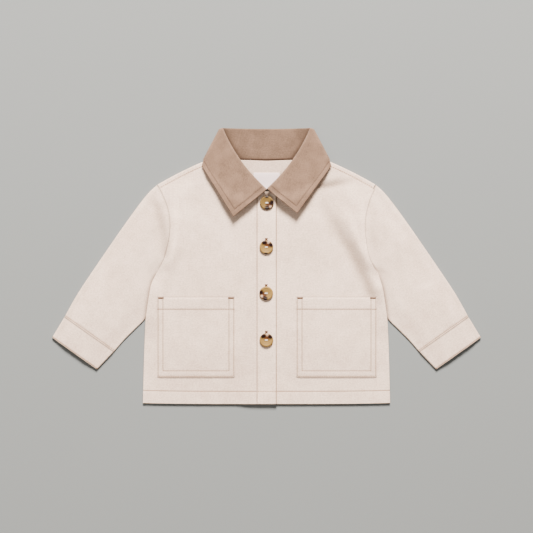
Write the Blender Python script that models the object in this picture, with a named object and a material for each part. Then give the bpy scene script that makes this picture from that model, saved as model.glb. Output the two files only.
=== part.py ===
"""Toddler's chore jacket, buttoned and laid flat on its back.

+Z is up, the collar lies towards +Y and the wearer's right is at -X.  Each
cut piece is one closed wall of cloth.  Sizes are in millimetres and are
turned into metres when a mesh is made.
"""
import math

import bmesh
import bpy
import numpy as np

MM = 0.001

# Cloth walls and the clearance between touching pieces
CANVAS = 1.1
COLLAR_WALL = 1.6
CUFF_WALL = 1.6
PLACKET_WALL = 1.6
POCKET_WALL = 1.3
LABEL_WALL = 1.0
GAP = 0.3
LAYER = CANVAS + GAP            # from one canvas layer to the next
PLACKET_STEP = (CANVAS + PLACKET_WALL) / 2 + GAP
FOLD = LAYER / 2                # radius of a flat fold, at the cloth's middle
BODY_SEAM_SHIFT = 0.3           # the body's armhole edge moves in this far
SLEEVE_SEAM_SHIFT = 0.45        # and the sleeve's moves out this far

# Body
HEM_Y = -184.0
HEM_CORNER_Y = -182.7
HEM_HALF_WIDTH = 164.7
NECK_POINT = (81.3, 140.3)
BACK_NECK_Y = 140.5
SHOULDER_TIP = (144.7, 108.7)
SHOULDER_WRAP = 5.0
BODY_LEVEL = 4.6                # middle of the front layer over the chest
COLLAR_LEVEL = 3.85             # and where it passes under the collar
PLACKET_EDGE = (-13.3, 13.6)    # stitched edge and free edge
PLACKET_TOP = 100.3
UNDER_EDGE = -12.4              # the left front's edge under the placket
SLEEVE_TUCK = 2.8               # lift of the body's side over the sleeve
NECK_CORNER_SHIFT = (-3.4, 1.4) # the front's shoulder corner, on towards the neck

# Lengths over which the front rises from its edges, and where it does
HEM_RISE = 20.0
SIDE_RISE = 34.0
SHOULDER_RISE = 26.0
UNDERARM_RISE = (20.0, 40.0)    # starts down from this Y, over this length
COLLAR_FALL = (58.0, 24.0)      # the chest falls from this Y to pass under the collar

# Where the back is raised: over the collar leaf and beside the sleeves
LEAF_HALF_WIDTH = 88.0
LEAF_FOOT_Y = 130.0
LEAF_FALL = (2.0, 24.0)
TUCK_INSET = (8.0, 34.0)        # full lift within the first, gone after the second
TUCK_TOP = (-7.0, 26.0)
TUCK_FOOT = (-66.0, 34.0)

# Where the under front dips below the placket and the upper front meets it
DIP_START = 8.0
DIP_RUN = 30.0
MEET_START = 30.0
MEET_RUN = 26.0

# Collar
COLLAR_TOP = 184.0
COLLAR_LIFT = 1.9               # the back panel rises this far over the leaf
HAIRPIN = 0.95                  # half distance between stand and leaf
BACK_COLLAR_Z = 1.75            # middle of the folded collar under the neck
FRONT_COLLAR_Z = 6.45           # and on top of the fronts
TURN = (FRONT_COLLAR_Z - BACK_COLLAR_Z) / 2
TURN_Z = (FRONT_COLLAR_Z + BACK_COLLAR_Z) / 2
LEAF_DROP = 0.9

# Pockets: left edge, right edge (X), top and bottom (Y)
POCKETS = {
    "pocket_right": (-146.0, -41.9, -40.8, -148.8),
    "pocket_left": (39.2, 147.2, -40.8, -148.8),
}
POCKET_EASE = 0.4               # twice the pocket's extra height over the front
LABEL = (-17.3, 17.4, 124.2, 102.5)

# Buttons
BUTTON_RADIUS = 9.0
BUTTON_HEIGHT = 3.2
BUTTON_PLACES = ((0.4, 84.0), (-0.2, 25.0), (-0.4, -36.4), (-0.2, -98.6))

# Side seam: Y, half width of the body
SIDE = ((HEM_CORNER_Y, 164.7), (-140.0, 163.7), (-106.7, 162.7), (-74.7, 161.2),
        (-57.7, 159.2), (-32.0, 155.2), (-20.5, 152.1), (-8.8, 146.4))

# Armhole from the underarm up to the shoulder seam, per side: X, Y
ARMHOLE = {
    -1: ((146.0, -8.8), (143.6, -4.5), (136.1, 10.3), (131.9, 25.2), (128.8, 42.1),
         (128.3, 59.2), (130.8, 76.1), (137.2, 93.3), (142.7, 104.0)),
    1: ((148.4, -8.4), (142.6, -1.2), (136.6, 13.0), (132.9, 31.6), (131.1, 50.7),
        (132.7, 69.9), (137.9, 88.9), (142.9, 100.7), (143.4, 103.7)),
}
BACK_ARMHOLE_BULGE = 0.55       # share of the front armhole's hollow

# Sleeve edges from the cuff up: X, Y.  The inner edge runs on per side to the underarm.
SLEEVE_OUTER = ((269.2, -68.0), (250.2, -34.7), (218.0, 13.3), (184.7, 61.3),
                (160.7, 93.3), (145.7, 108.4))
SLEEVE_INNER = ((203.5, -114.3), (190.0, -98.7), (174.0, -82.7), (164.5, -73.4),
                (160.2, -67.0), (155.4, -58.0), (153.6, -50.0), (154.4, -43.0),
                (155.6, -36.5), (155.6, -31.0), (154.1, -25.0), (152.5, -20.0))
SLEEVE_UNDERARM = {
    -1: ((150.4, -14.5), (147.4, -9.3)),
    1: ((151.4, -14.5), (149.8, -8.9)),
}
CUFF_END = ((285.7, -95.4), (226.0, -137.8))
SLEEVE_SWELL = 2.3
CUFF_SWELL = 1.4

# Main creases: name, start, bend and end (X, Y), depth (a ridge is negative), half width
CREASES = (
    ("chest valley", (74, 100), (98, 55), (143, -34), 2.6, 8.0),
    ("chest ridge", (92, 100), (118, 55), (150, -26), -1.1, 9.0),
    ("collar crease", (76, 114), (95, 114), (116, 117), 1.4, 5.0),
    ("armhole hollow", (-151, 96), (-143, 60), (-136, 16), 1.7, 6.0),
    ("armhole ridge", (-118, 96), (-119, 50), (-134, -10), -0.9, 8.0),
    ("side hollow", (-112, 14), (-126, -10), (-138, -38), 1.0, 7.0),
    ("shoulder hollow", (-122, 100), (-127, 80), (-124, 58), 0.6, 4.0),
    ("left sleeve hollow", (182, 36), (204, -2), (216, -30), 0.8, 9.0),
)


def smooth(t):
    """Rise from 0 to 1 with level ends."""
    t = np.clip(t, 0.0, 1.0)
    return t * t * (3 - 2 * t)


def spline(points, count):
    """Catmull-Rom curve through the points, read at even steps of length."""
    p = np.array(points, float)
    p = np.vstack((2 * p[0] - p[1], p, 2 * p[-1] - p[-2]))
    t = np.linspace(0, 1, 24, endpoint=False)[:, None]
    runs = []
    for a, b, c, d in zip(p[:-3], p[1:-2], p[2:-1], p[3:]):
        cubic = (3 * b - a - 3 * c + d) * t ** 3
        square = (2 * a - 5 * b + 4 * c - d) * t ** 2
        runs.append(b + 0.5 * ((c - a) * t + square + cubic))
    path = np.vstack(runs + [p[-2:-1]])
    length = np.append(0, np.cumsum(np.hypot(*np.diff(path, axis=0).T)))
    even = np.linspace(0, length[-1], count)
    return np.column_stack([np.interp(even, length, path[:, i]) for i in (0, 1)])


def mirrored(points, side):
    """The same points on the given side of the centre line."""
    return np.array(points, float) * (side, 1)


# ---------------------------------------------------------------- heights

def side_distance(x, y):
    """Distance in from the side seam, level with the point."""
    heights, widths = np.array(SIDE).T
    return np.interp(y, heights, widths) - np.abs(x)


def shoulder_distance(x, y):
    """Distance down from the shoulder line."""
    along = np.subtract(SHOULDER_TIP, NECK_POINT)
    along = along / np.hypot(*along)
    return (np.abs(x) - NECK_POINT[0]) * along[1] - (y - NECK_POINT[1]) * along[0]


def back_height(x, y):
    """Middle of the back: flat, raised over the collar leaf and the sleeves."""
    past_leaf = np.hypot(np.maximum(np.abs(x) - LEAF_HALF_WIDTH, 0),
                         np.maximum(LEAF_FOOT_Y - y, 0))
    collar = COLLAR_LIFT * (1 - smooth((past_leaf - LEAF_FALL[0]) / LEAF_FALL[1]))
    near_side = 1 - smooth((side_distance(x, y) - TUCK_INSET[0]) / TUCK_INSET[1])
    beside_sleeve = smooth((TUCK_TOP[0] - y) / TUCK_TOP[1])
    beside_sleeve = beside_sleeve * (1 - smooth((TUCK_FOOT[0] - y) / TUCK_FOOT[1]))
    return CANVAS / 2 + collar + SLEEVE_TUCK * near_side * beside_sleeve


def crease_height(x, y):
    """Sum of the soft troughs and ridges at a point."""
    total = np.zeros(np.shape(x))
    t = np.linspace(0, 1, 33)
    for _, start, bend, end, depth, width in CREASES:
        path_x, path_y = [s * (1 - t) ** 2 + 2 * b * t * (1 - t) + e * t ** 2
                          for s, b, e in zip(start, bend, end)]
        away = np.hypot(x[..., None] - path_x, y[..., None] - path_y)
        place = t[away.argmin(-1)]
        ends = smooth(place / 0.18) * smooth((1 - place) / 0.25)
        total -= depth * ends * np.exp(-(away.min(-1) / width) ** 2)
    return total


def front_height(x, y):
    """Middle of the front: rests on the back at its edges and swells between them."""
    x = np.asarray(x, float)
    floor = back_height(x, y) + LAYER
    fall = smooth((y - COLLAR_FALL[0]) / COLLAR_FALL[1])
    level = BODY_LEVEL - (BODY_LEVEL - COLLAR_LEVEL) * fall
    below_arm = smooth((UNDERARM_RISE[0] - y) / UNDERARM_RISE[1])
    side = 1 - below_arm * (1 - smooth(side_distance(x, y) / SIDE_RISE))
    edges = side * smooth((y - HEM_Y) / HEM_RISE)
    edges = edges * smooth(shoulder_distance(x, y) / SHOULDER_RISE)
    return floor + np.maximum((np.maximum(level - floor, 0) + crease_height(x, y)) * edges, 0)


def under_height(x, y):
    """Middle of the left front, which dips to pass under the placket."""
    dip = 1 - smooth((x - PLACKET_EDGE[1] - DIP_START) / DIP_RUN)
    floor = back_height(x, y) + LAYER
    return np.maximum(front_height(x, y) - PLACKET_STEP * dip, floor)


def over_height(x, y):
    """Middle of the right front, which rises to meet the placket."""
    rise = smooth((x - PLACKET_EDGE[0] + MEET_START) / MEET_RUN)
    placket = under_height(x * 0, y) + PLACKET_STEP
    return front_height(x, y) * (1 - rise) + placket * rise


# ---------------------------------------------------------------- meshes

def finish(name, colour, roughness):
    material = bpy.data.materials.new(name)
    material.use_nodes = True
    shader = material.node_tree.nodes["Principled BSDF"]
    shader.inputs["Base Color"].default_value = (*colour, 1)
    shader.inputs["Roughness"].default_value = roughness
    shader.inputs["Metallic"].default_value = 0.0
    return material


def canvas_finish(name):
    return finish(name + "_canvas", (0.79, 0.72, 0.66), 0.9)


def add_piece(name, mesh_points, faces, material, merge=1e-6):
    """Make one closed object from points in millimetres."""
    mesh = bpy.data.meshes.new(name)
    mesh.from_pydata((mesh_points * MM).tolist(), [], faces)
    bm = bmesh.new()
    bm.from_mesh(mesh)
    bmesh.ops.remove_doubles(bm, verts=bm.verts, dist=merge)
    bmesh.ops.triangulate(bm, faces=bm.faces)
    bmesh.ops.recalc_face_normals(bm, faces=bm.faces)
    bm.to_mesh(mesh)
    bm.free()
    mesh.materials.append(material)
    mesh.shade_smooth()
    mesh.set_sharp_from_angle(angle=math.radians(40))
    piece = bpy.data.objects.new(name, mesh)
    bpy.context.scene.collection.objects.link(piece)
    return piece


def wall(name, surface, columns, rows, thickness, material, ring=False):
    """Closed wall between a surface's two faces.

    surface(h) gives rows x columns points at height h off the cloth's middle.
    """
    outer = surface(thickness / 2).reshape(-1, 3)
    inner = surface(-thickness / 2).reshape(-1, 3)
    last = columns if ring else columns - 1
    faces = []
    shift = len(outer)
    for r in range(rows - 1):
        for c in range(last):
            a, b = r * columns + c, r * columns + (c + 1) % columns
            quad = (a, b, b + columns, a + columns)
            faces.append(quad)
            faces.append(tuple(i + shift for i in reversed(quad)))
    rims = [[r * columns + c for c in range(columns)] for r in (0, rows - 1)]
    if not ring:
        rims += [[r * columns + c for r in range(rows)] for c in (0, columns - 1)]
    for rim in rims:
        loop = rim + rim[:1] if ring else rim
        for a, b in zip(loop, loop[1:]):
            faces.append((a, b, b + shift, a + shift))
    return add_piece(name, np.vstack((outer, inner)), faces, material)


def patch(bottom, top, left, right):
    """Coons patch: blend of four boundary curves, rows run from bottom to top."""
    u = np.linspace(0, 1, len(bottom))[None, :, None]
    v = np.linspace(0, 1, len(left))[:, None, None]
    across = (1 - u) * left[:, None] + u * right[:, None]
    upright = (1 - v) * bottom[None] + v * top[None]
    corners = ((1 - u) * (1 - v) * bottom[0] + u * (1 - v) * bottom[-1]
               + (1 - u) * v * top[0] + u * v * top[-1])
    return across + upright - corners


def lifted(plan, height, h):
    """Points of a plan raised to a height field, h off its middle."""
    z = height(plan[..., 0], plan[..., 1]) + h
    return np.dstack((plan, z))


def side_edge(side, count):
    """Side seam from the hem up to the underarm."""
    return mirrored(spline([(w, y) for y, w in SIDE], count), side)


# ---------------------------------------------------------------- body

BODY_ROWS = (19, 13)            # along the side seam and along the armhole
SHOULDER_COLUMNS = 8
NECK_COLUMNS = 9


def shoulder_line(side, inset, count):
    """Shoulder from tip to neck point, moved down into the body by inset."""
    tip, neck = np.array(SHOULDER_TIP), np.array(NECK_POINT)
    along = (neck - tip) / np.hypot(*(neck - tip))
    inward = np.array((-along[1], along[0]))
    t = np.linspace(0, 1, count)[:, None]
    crown = 1.2 * np.sin(math.pi * t) * -inward
    return mirrored(tip + (neck - tip) * t + crown + inset * inward, side), mirrored(inward, side)


def body_side(side, hollow, top):
    """Side seam and armhole of a body panel, ending at the given top point."""
    armhole = np.array(ARMHOLE[side], float)
    chord = np.linspace(0, 1, len(armhole))[:, None]
    straight = armhole[0] * (1 - chord) + armhole[-1] * chord
    armhole = straight + (armhole - straight) * hollow
    armhole[:, 0] -= BODY_SEAM_SHIFT
    armhole = np.vstack((armhole[:-1], np.abs(top)))
    lower = side_edge(side, BODY_ROWS[0])
    lower[-1] = mirrored(armhole[0], side)
    return np.vstack((lower[:-1], mirrored(spline(armhole, BODY_ROWS[1]), side)))


def make_back():
    """Back panel with a strip that folds over each shoulder."""
    inset = FOLD + CANVAS / 2
    shoulders = {side: shoulder_line(side, inset, SHOULDER_COLUMNS) for side in (-1, 1)}
    left_line, right_line = shoulders[-1][0], shoulders[1][0]
    neck = spline(((-NECK_POINT[0], NECK_POINT[1] - 0.6), (-36, 141.2), (0, BACK_NECK_Y - 0.5),
                   (36, 141.2), (NECK_POINT[0], NECK_POINT[1] - 0.6)), NECK_COLUMNS * 2)
    neck[0], neck[-1] = left_line[-1], right_line[-1]
    top = np.vstack((left_line[:-1], neck, right_line[::-1][1:]))
    columns = len(top)
    bottom = np.column_stack((np.linspace(-HEM_HALF_WIDTH, HEM_HALF_WIDTH, columns),
                              np.zeros(columns)))
    bottom[:, 1] = HEM_Y + (HEM_CORNER_Y - HEM_Y) * (bottom[:, 0] / HEM_HALF_WIDTH) ** 4
    left = body_side(-1, BACK_ARMHOLE_BULGE, top[0])
    right = body_side(1, BACK_ARMHOLE_BULGE, top[-1])
    plan = patch(bottom, top, left, right)

    angles = np.linspace(-90, 90, 6)[1:]
    wrap_columns = np.zeros(columns, bool)
    wrap_columns[:SHOULDER_COLUMNS - 1] = True
    wrap_columns[-SHOULDER_COLUMNS + 1:] = True
    inward = np.where(np.arange(columns)[:, None] < columns / 2,
                      shoulders[-1][1], shoulders[1][1])

    def surface(h):
        flat = lifted(plan, back_height, -h)
        edge = flat[-1].copy()
        centre = back_height(top[:, 0], top[:, 1]) + FOLD
        rows = []
        for angle in np.radians(angles):
            out = (FOLD + h) * math.cos(angle)
            z = centre + (FOLD + h) * math.sin(angle)
            rows.append(np.column_stack((top - out * inward, z)))
        reach = top + SHOULDER_WRAP * inward
        rows.append(np.column_stack((reach, centre + FOLD + h)))
        rows = [np.where(wrap_columns[:, None], row, edge) for row in rows]
        return np.concatenate((flat, np.array(rows)))

    rows = len(plan) + len(angles) + 1
    wall("back", surface, columns, rows, CANVAS, canvas_finish("back"))


def make_front(name, side, height):
    """Front panel from the shoulder seam to the button edge."""
    seam, inward = shoulder_line(side, FOLD + CANVAS / 2 + SHOULDER_WRAP + GAP, SHOULDER_COLUMNS)
    neck_curve = ((68.1, 131.5), (53.0, 116.5), (32.7, 105.4), (14.0, 101.3))
    centre_edge = UNDER_EDGE if side > 0 else -PLACKET_EDGE[0] + GAP
    if side > 0:
        neck_curve += ((centre_edge, 99.6),)
    else:
        neck_curve = neck_curve[:-1] + ((centre_edge, 101.3),)
    seam[-1] += mirrored(NECK_CORNER_SHIFT, side)
    neck = mirrored(spline((np.abs(seam[-1]),) + neck_curve, NECK_COLUMNS + 2), side)
    top = np.vstack((seam[:-1], neck))
    columns = len(top)
    across = np.linspace(HEM_HALF_WIDTH, centre_edge, columns)
    hem = HEM_Y + (HEM_CORNER_Y - HEM_Y) * (across / HEM_HALF_WIDTH) ** 4
    bottom = np.column_stack((across * side, hem))
    outer = body_side(side, 1.0, top[0])
    t = np.linspace(0, 1, len(outer))[:, None]
    inner = bottom[-1] * (1 - t) + top[-1] * t
    plan = patch(bottom, top, outer, inner)
    wall(name, lambda h: lifted(plan, height, h), columns, len(plan), CANVAS,
         canvas_finish(name))


# ---------------------------------------------------------------- sleeves

def flat_tube(outer, inner, wall_thickness, swell, top_shift=None, bottom_shift=None):
    """Surface of a flattened tube between two edge curves, one ring for each row.

    swell(f, rows) is the rise of the top layer; the shifts move both layers' rows in plan.
    """
    fold = (wall_thickness + GAP) / 2
    inset = fold + wall_thickness / 2
    across = inner - outer
    across /= np.hypot(across[:, 0], across[:, 1])[:, None]
    start, stop = outer + inset * across, inner - inset * across
    share = np.linspace(0, 1, 15)
    angles = np.radians(np.linspace(-90, 90, 6)[1:-1])
    centre_z = inset

    def layer(f, shift):
        plan = start[:, None] * (1 - f[None, :, None]) + stop[:, None] * f[None, :, None]
        return plan if shift is None else plan + shift(plan)

    def surface(h):
        radius = fold + h
        ring = []
        under = layer(share, bottom_shift)
        for c in range(len(share))[::-1]:
            ring.append(np.column_stack((under[:, c], np.full(len(outer), centre_z - radius))))
        for angle in angles:
            plan = start - radius * math.cos(angle) * across
            ring.append(np.column_stack((plan, np.full(len(outer), centre_z + radius * math.sin(angle)))))
        over = layer(share, top_shift)
        rise = swell(share, over)
        for c in range(len(share)):
            ring.append(np.column_stack((over[:, c], centre_z + radius + rise[:, c])))
        for angle in angles[::-1]:
            plan = stop + radius * math.cos(angle) * across
            ring.append(np.column_stack((plan, np.full(len(outer), centre_z + radius * math.sin(angle)))))
        return np.array(ring).transpose(1, 0, 2)

    return surface, 2 * len(share) + 2 * len(angles)


SLEEVE_ROWS = 27


def make_sleeve(name, side):
    """One-piece sleeve from the cuff seam to the armhole."""
    armhole = np.array(ARMHOLE[side], float) + (SLEEVE_SEAM_SHIFT, 0)
    tip = np.array(SLEEVE_OUTER[-1])
    outer = spline(SLEEVE_OUTER, SLEEVE_ROWS)
    inner = spline(SLEEVE_INNER + SLEEVE_UNDERARM[side], SLEEVE_ROWS)
    seam = spline(np.vstack((armhole, tip)), 120)
    near = smooth((np.linspace(0, 1, SLEEVE_ROWS) - 0.55) / 0.45)[:, None, None]

    def shift_by(hollow):
        def shift(plan):
            y = plan[..., 1]
            chord_x = np.interp(y, (seam[0, 1], tip[1]), (seam[0, 0], tip[0]))
            bulge = np.interp(y, seam[:, 1], seam[:, 0]) - chord_x
            return near * hollow * np.dstack((bulge, 0 * bulge))
        return shift

    def swell(f, plan):
        edges = smooth((np.minimum(f, 1 - f) - 0.05) / 0.22)[None, :]
        own = SLEEVE_SWELL * edges * np.ones((SLEEVE_ROWS, 1))
        own *= 0.75 + 0.25 * smooth(np.linspace(0, 1, SLEEVE_ROWS) / 0.3)[:, None]
        x, y = plan[..., 0] * side, plan[..., 1]
        body = front_height(x, y) - back_height(x, y) - LAYER
        joined = smooth(np.minimum(f, 1 - f) / 0.15)[None, :] * body
        mix = near[..., 0] ** 4
        creased = own + crease_height(x, y) * edges * (1 - mix)
        return np.maximum(creased * (1 - mix) + joined * mix, 0)

    surface, columns = flat_tube(outer, inner, CANVAS, swell, shift_by(1.0),
                                 shift_by(BACK_ARMHOLE_BULGE))
    wall(name, lambda h: surface(h) * (side, 1, 1), columns, SLEEVE_ROWS, CANVAS,
         canvas_finish(name), ring=True)


def make_cuff(name, side):
    """Double band at the sleeve's end."""
    seam = np.array((SLEEVE_OUTER[0], SLEEVE_INNER[0]))
    end = np.array(CUFF_END)
    down = (end - seam).mean(0)
    start = seam + GAP * 1.5 * down / np.hypot(*down)
    t = np.linspace(0, 1, 6)[:, None]
    outer = start[0] * (1 - t) + end[0] * t
    inner = start[1] * (1 - t) + end[1] * t

    def swell(f, plan):
        return CUFF_SWELL * smooth(np.minimum(f, 1 - f) / 0.3)[None, :] * np.ones((len(t), 1))

    surface, columns = flat_tube(outer, inner, CUFF_WALL, swell)
    wall(name, lambda h: surface(h) * (side, 1, 1), columns, len(t), CUFF_WALL,
         canvas_finish(name), ring=True)


# ---------------------------------------------------------------- collar

# Per side: X, Y of the roll at the centre front, its middle, the point and the outer corner
COLLAR_FRONT = {
    -1: {"meet": (0.9, 101.3), "middle": (34.5, 141.3), "point": (44.0, 65.3)},
    1: {"meet": (1.1, 101.3), "middle": (34.5, 141.3), "point": (40.7, 70.0)},
}
COLLAR_AXIS = (59.7, 180.8)     # the side fold's axis at its top
COLLAR_SIDE = (0.467, -0.884)   # and its direction down to the shoulder
SIDE_OUT = (0.884, 0.467)
ROLL_TOP_X = 57.9
STAND_END = 42.9                # from the axis top down to the neck seam, at the side
LEAF_AT_FOLD = 46.4             # shorter where the leaf passes over the shoulder
LEAF_AT_FRONT = 55.2
LEAF_AT_BACK = 52.5
STAND_SHARE = ((0.0, 47.5), (0.25, 42.0), (0.5, 37.0), (0.75, 27.0), (0.9, 14.0), (1.0, 4.0))


def collar_stations(side):
    """Half of the collar from the centre back: roll point, direction, normal, lengths."""
    axis, down, out = (np.array(p, float) for p in (COLLAR_AXIS, COLLAR_SIDE, SIDE_OUT))
    stations = []
    for t in np.linspace(0, 1, 9)[:-1]:
        roll = np.array((ROLL_TOP_X * t, COLLAR_TOP - 1.3 * (1 - t * t)))
        free = np.array((t * (axis + LEAF_AT_BACK * down)[0], 130.9 + (1 - t) * -0.4))
        neck = np.array((t * (axis + STAND_END * down)[0], 141.1 + 0.9 * math.sin(math.pi * t)))
        run = (free - roll) / np.hypot(*(free - roll))
        stations.append((np.array((*roll, BACK_COLLAR_Z)), run, np.array((0, 0, -1.0)),
                         np.hypot(*(free - roll)), np.hypot(*(neck - roll)), 0.0))
    for theta in np.linspace(-90, 90, 13):
        c, s = math.cos(math.radians(theta)), math.sin(math.radians(theta))
        foot = axis + TURN * c * out
        lift = (COLLAR_TOP - 1.5 * c - foot[1]) / -down[1]
        roll = foot - lift * down
        end = LEAF_AT_FRONT if theta > 0 else LEAF_AT_BACK
        level = 30 if theta > 0 else 62
        leaf = LEAF_AT_FOLD + (end - LEAF_AT_FOLD) * smooth((abs(theta) - level) / (80 - level))
        stations.append((np.array((*roll, TURN_Z + TURN * s)), down, np.array((*(out * c), s)),
                         leaf + lift, STAND_END + lift, 0.0))
    shape = COLLAR_FRONT[side]
    meet, middle, point = (np.array(shape[k]) for k in ("meet", "middle", "point"))
    first = stations[-1][0][:2]
    bend = 2 * middle - (first + meet) / 2
    corner = axis + LEAF_AT_FRONT * down
    shares = np.array(STAND_SHARE).T
    for t in np.linspace(0, 1, 17)[1:]:
        roll = first * (1 - t) ** 2 + 2 * bend * t * (1 - t) + meet * t * t
        free = corner * (1 - t) + point * t
        run = (free - roll) / np.hypot(*(free - roll))
        z = FRONT_COLLAR_Z + 0.7 * smooth((t - 0.5) / 0.5)
        stations.append((np.array((*roll, z)), run, np.array((0, 0, 1.0)),
                         np.hypot(*(free - roll)), np.interp(t, *shares), t))
    return stations


def collar_section(station, h):
    """Hairpin through one station: stand, roll and leaf, h off the cloth's middle."""
    roll, run, normal, leaf, stand, front = station
    radius = HAIRPIN + h
    inset = HAIRPIN + COLLAR_WALL / 2
    along, off = [], []
    for a in np.linspace(stand, inset, 7):
        along.append(a)
        off.append(-radius)
    for angle in np.radians(np.linspace(-90, 90, 8)[1:-1]):
        along.append(inset - radius * math.cos(angle))
        off.append(radius * math.sin(angle))
    drop = LEAF_DROP * smooth(front / 0.15)
    for a in np.linspace(inset, leaf, 9):
        along.append(a)
        off.append(radius - drop * float(smooth((a - stand - 2) / (leaf - stand))))
    along, off = np.array(along)[:, None], np.array(off)[:, None]
    flat = np.append(run, 0.0)
    return roll + along * flat + off * normal


def make_collar():
    halves = {side: collar_stations(side) for side in (-1, 1)}
    whole = [(station, -1) for station in halves[-1][::-1]]
    whole += [(station, 1) for station in halves[1][1:]]

    def surface(h):
        return np.array([collar_section(station, h) * (side, 1, 1) for station, side in whole])

    columns = surface(0).shape[1]
    wall("collar", surface, columns, len(whole), COLLAR_WALL,
         finish("collar_twill", (0.48, 0.37, 0.29), 0.85))


# ---------------------------------------------------------------- flat pieces

def make_patch(name, box, height, thickness, material, counts, corner=0.0):
    """Flat piece over a height field, with its two lower corners cut round."""
    x0, x1, top, bottom = box
    across = np.linspace(x0, x1, counts[0])
    edge = np.minimum(across - x0, x1 - across)
    cut = corner - np.sqrt(np.maximum(corner ** 2 - np.maximum(corner - edge, 0) ** 2, 0))
    t = np.linspace(0, 1, counts[1])[:, None]
    rows_y = (bottom + cut) * (1 - t) + top * t
    plan = np.dstack((np.broadcast_to(across, rows_y.shape), rows_y))
    wall(name, lambda h: lifted(plan, height, h), counts[0], counts[1], thickness, material)


def on_top_of(height, below, thickness):
    """Middle of a piece that lies a gap above another."""
    return lambda x, y: height(x, y) + below / 2 + GAP + thickness / 2


def make_flat_pieces():
    placket = (*PLACKET_EDGE, PLACKET_TOP, HEM_Y - 0.4)
    make_patch("placket", placket, lambda x, y: under_height(x, y) + PLACKET_STEP,
               PLACKET_WALL, canvas_finish("placket"), (5, 40))
    for name, box in POCKETS.items():
        height = over_height if "right" in name else under_height
        make_patch(name, box, on_top_of(height, CANVAS + POCKET_EASE, POCKET_WALL), POCKET_WALL,
                   canvas_finish(name), (17, 16), corner=4.0)
    make_patch("neck_label", LABEL, on_top_of(back_height, CANVAS, LABEL_WALL), LABEL_WALL,
               finish("label_cotton", (0.9, 0.89, 0.87), 0.8), (7, 6))


# ---------------------------------------------------------------- buttons

# Turned profile from the axis out over the top: radius share, height share
BUTTON_PROFILE = ((0.0, 0.0), (0.62, 0.0), (0.9, 0.22), (1.0, 0.5), (0.97, 0.78), (0.88, 0.97),
                  (0.76, 1.0), (0.66, 0.86), (0.56, 0.7), (0.0, 0.62))
HOLE_RADIUS = 1.0
HOLE_OFFSET = 1.9               # each hole's distance from the axis, along X


def make_button(name, place, holes):
    """Turned button with a raised rim and two thread holes."""
    x, y = place
    base = float(under_height(np.array(0.0), np.array(y))) + PLACKET_STEP
    base += PLACKET_WALL / 2 + GAP
    bm = bmesh.new()
    rim = [bm.verts.new((r * BUTTON_RADIUS * MM, 0, z * BUTTON_HEIGHT * MM))
           for r, z in BUTTON_PROFILE]
    edges = [bm.edges.new(pair) for pair in zip(rim, rim[1:])]
    bmesh.ops.spin(bm, geom=rim + edges, axis=(0, 0, 1), cent=(0, 0, 0),
                   angle=2 * math.pi, steps=24)
    bmesh.ops.remove_doubles(bm, verts=bm.verts, dist=1e-6)
    bmesh.ops.recalc_face_normals(bm, faces=bm.faces)
    mesh = bpy.data.meshes.new(name)
    bm.to_mesh(mesh)
    bm.free()
    mesh.materials.append(finish(name + "_horn", (0.42, 0.27, 0.12), 0.25))
    mesh.shade_smooth()
    mesh.set_sharp_from_angle(angle=math.radians(40))
    button = bpy.data.objects.new(name, mesh)
    button.location = (x * MM, y * MM, base * MM)
    bpy.context.scene.collection.objects.link(button)
    cut = button.modifiers.new("thread holes", "BOOLEAN")
    cut.operation = "DIFFERENCE"
    cut.object = holes[name]


def make_hole_cutter(name, place):
    """Two upright pins, joined in one cutter at the button's place."""
    bm = bmesh.new()
    for side in (-1, 1):
        pin = bmesh.ops.create_cone(bm, cap_ends=True, segments=12,
                                    radius1=HOLE_RADIUS * MM, radius2=HOLE_RADIUS * MM,
                                    depth=30 * MM)
        bmesh.ops.translate(bm, verts=pin["verts"], vec=(side * HOLE_OFFSET * MM, 0, 0))
    mesh = bpy.data.meshes.new(name + "_holes")
    bm.to_mesh(mesh)
    bm.free()
    cutter = bpy.data.objects.new(name + "_holes", mesh)
    cutter.location = (place[0] * MM, place[1] * MM, 5 * MM)
    cutter.hide_render = True
    cutter.display_type = "WIRE"
    bpy.context.scene.collection.objects.link(cutter)
    return cutter


def make_buttons():
    names = [f"button_{i + 1}" for i in range(len(BUTTON_PLACES))]
    holes = {n: make_hole_cutter(n, p) for n, p in zip(names, BUTTON_PLACES)}
    for name, place in zip(names, BUTTON_PLACES):
        make_button(name, place, holes)


def main():
    for old in list(bpy.data.objects):
        bpy.data.objects.remove(old, do_unlink=True)
    make_back()
    make_front("front_right", -1, over_height)
    make_front("front_left", 1, under_height)
    for name, side in (("right", -1), ("left", 1)):
        make_sleeve("sleeve_" + name, side)
        make_cuff("cuff_" + name, side)
    make_collar()
    make_flat_pieces()
    make_buttons()


main()
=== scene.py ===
"""Dressed model of a toddler's chore jacket, buttoned and laid flat on its back.

+Z is up, the collar lies towards +Y and the wearer's right is at -X.  Sizes are
in millimetres and are turned into metres when a mesh is made.  Every cloth piece
is a thin closed shell: the cloth's middle is a function of two parameters on a
grid, and its two faces lie half the cloth's thickness off it.
"""
import itertools
import math

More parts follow.
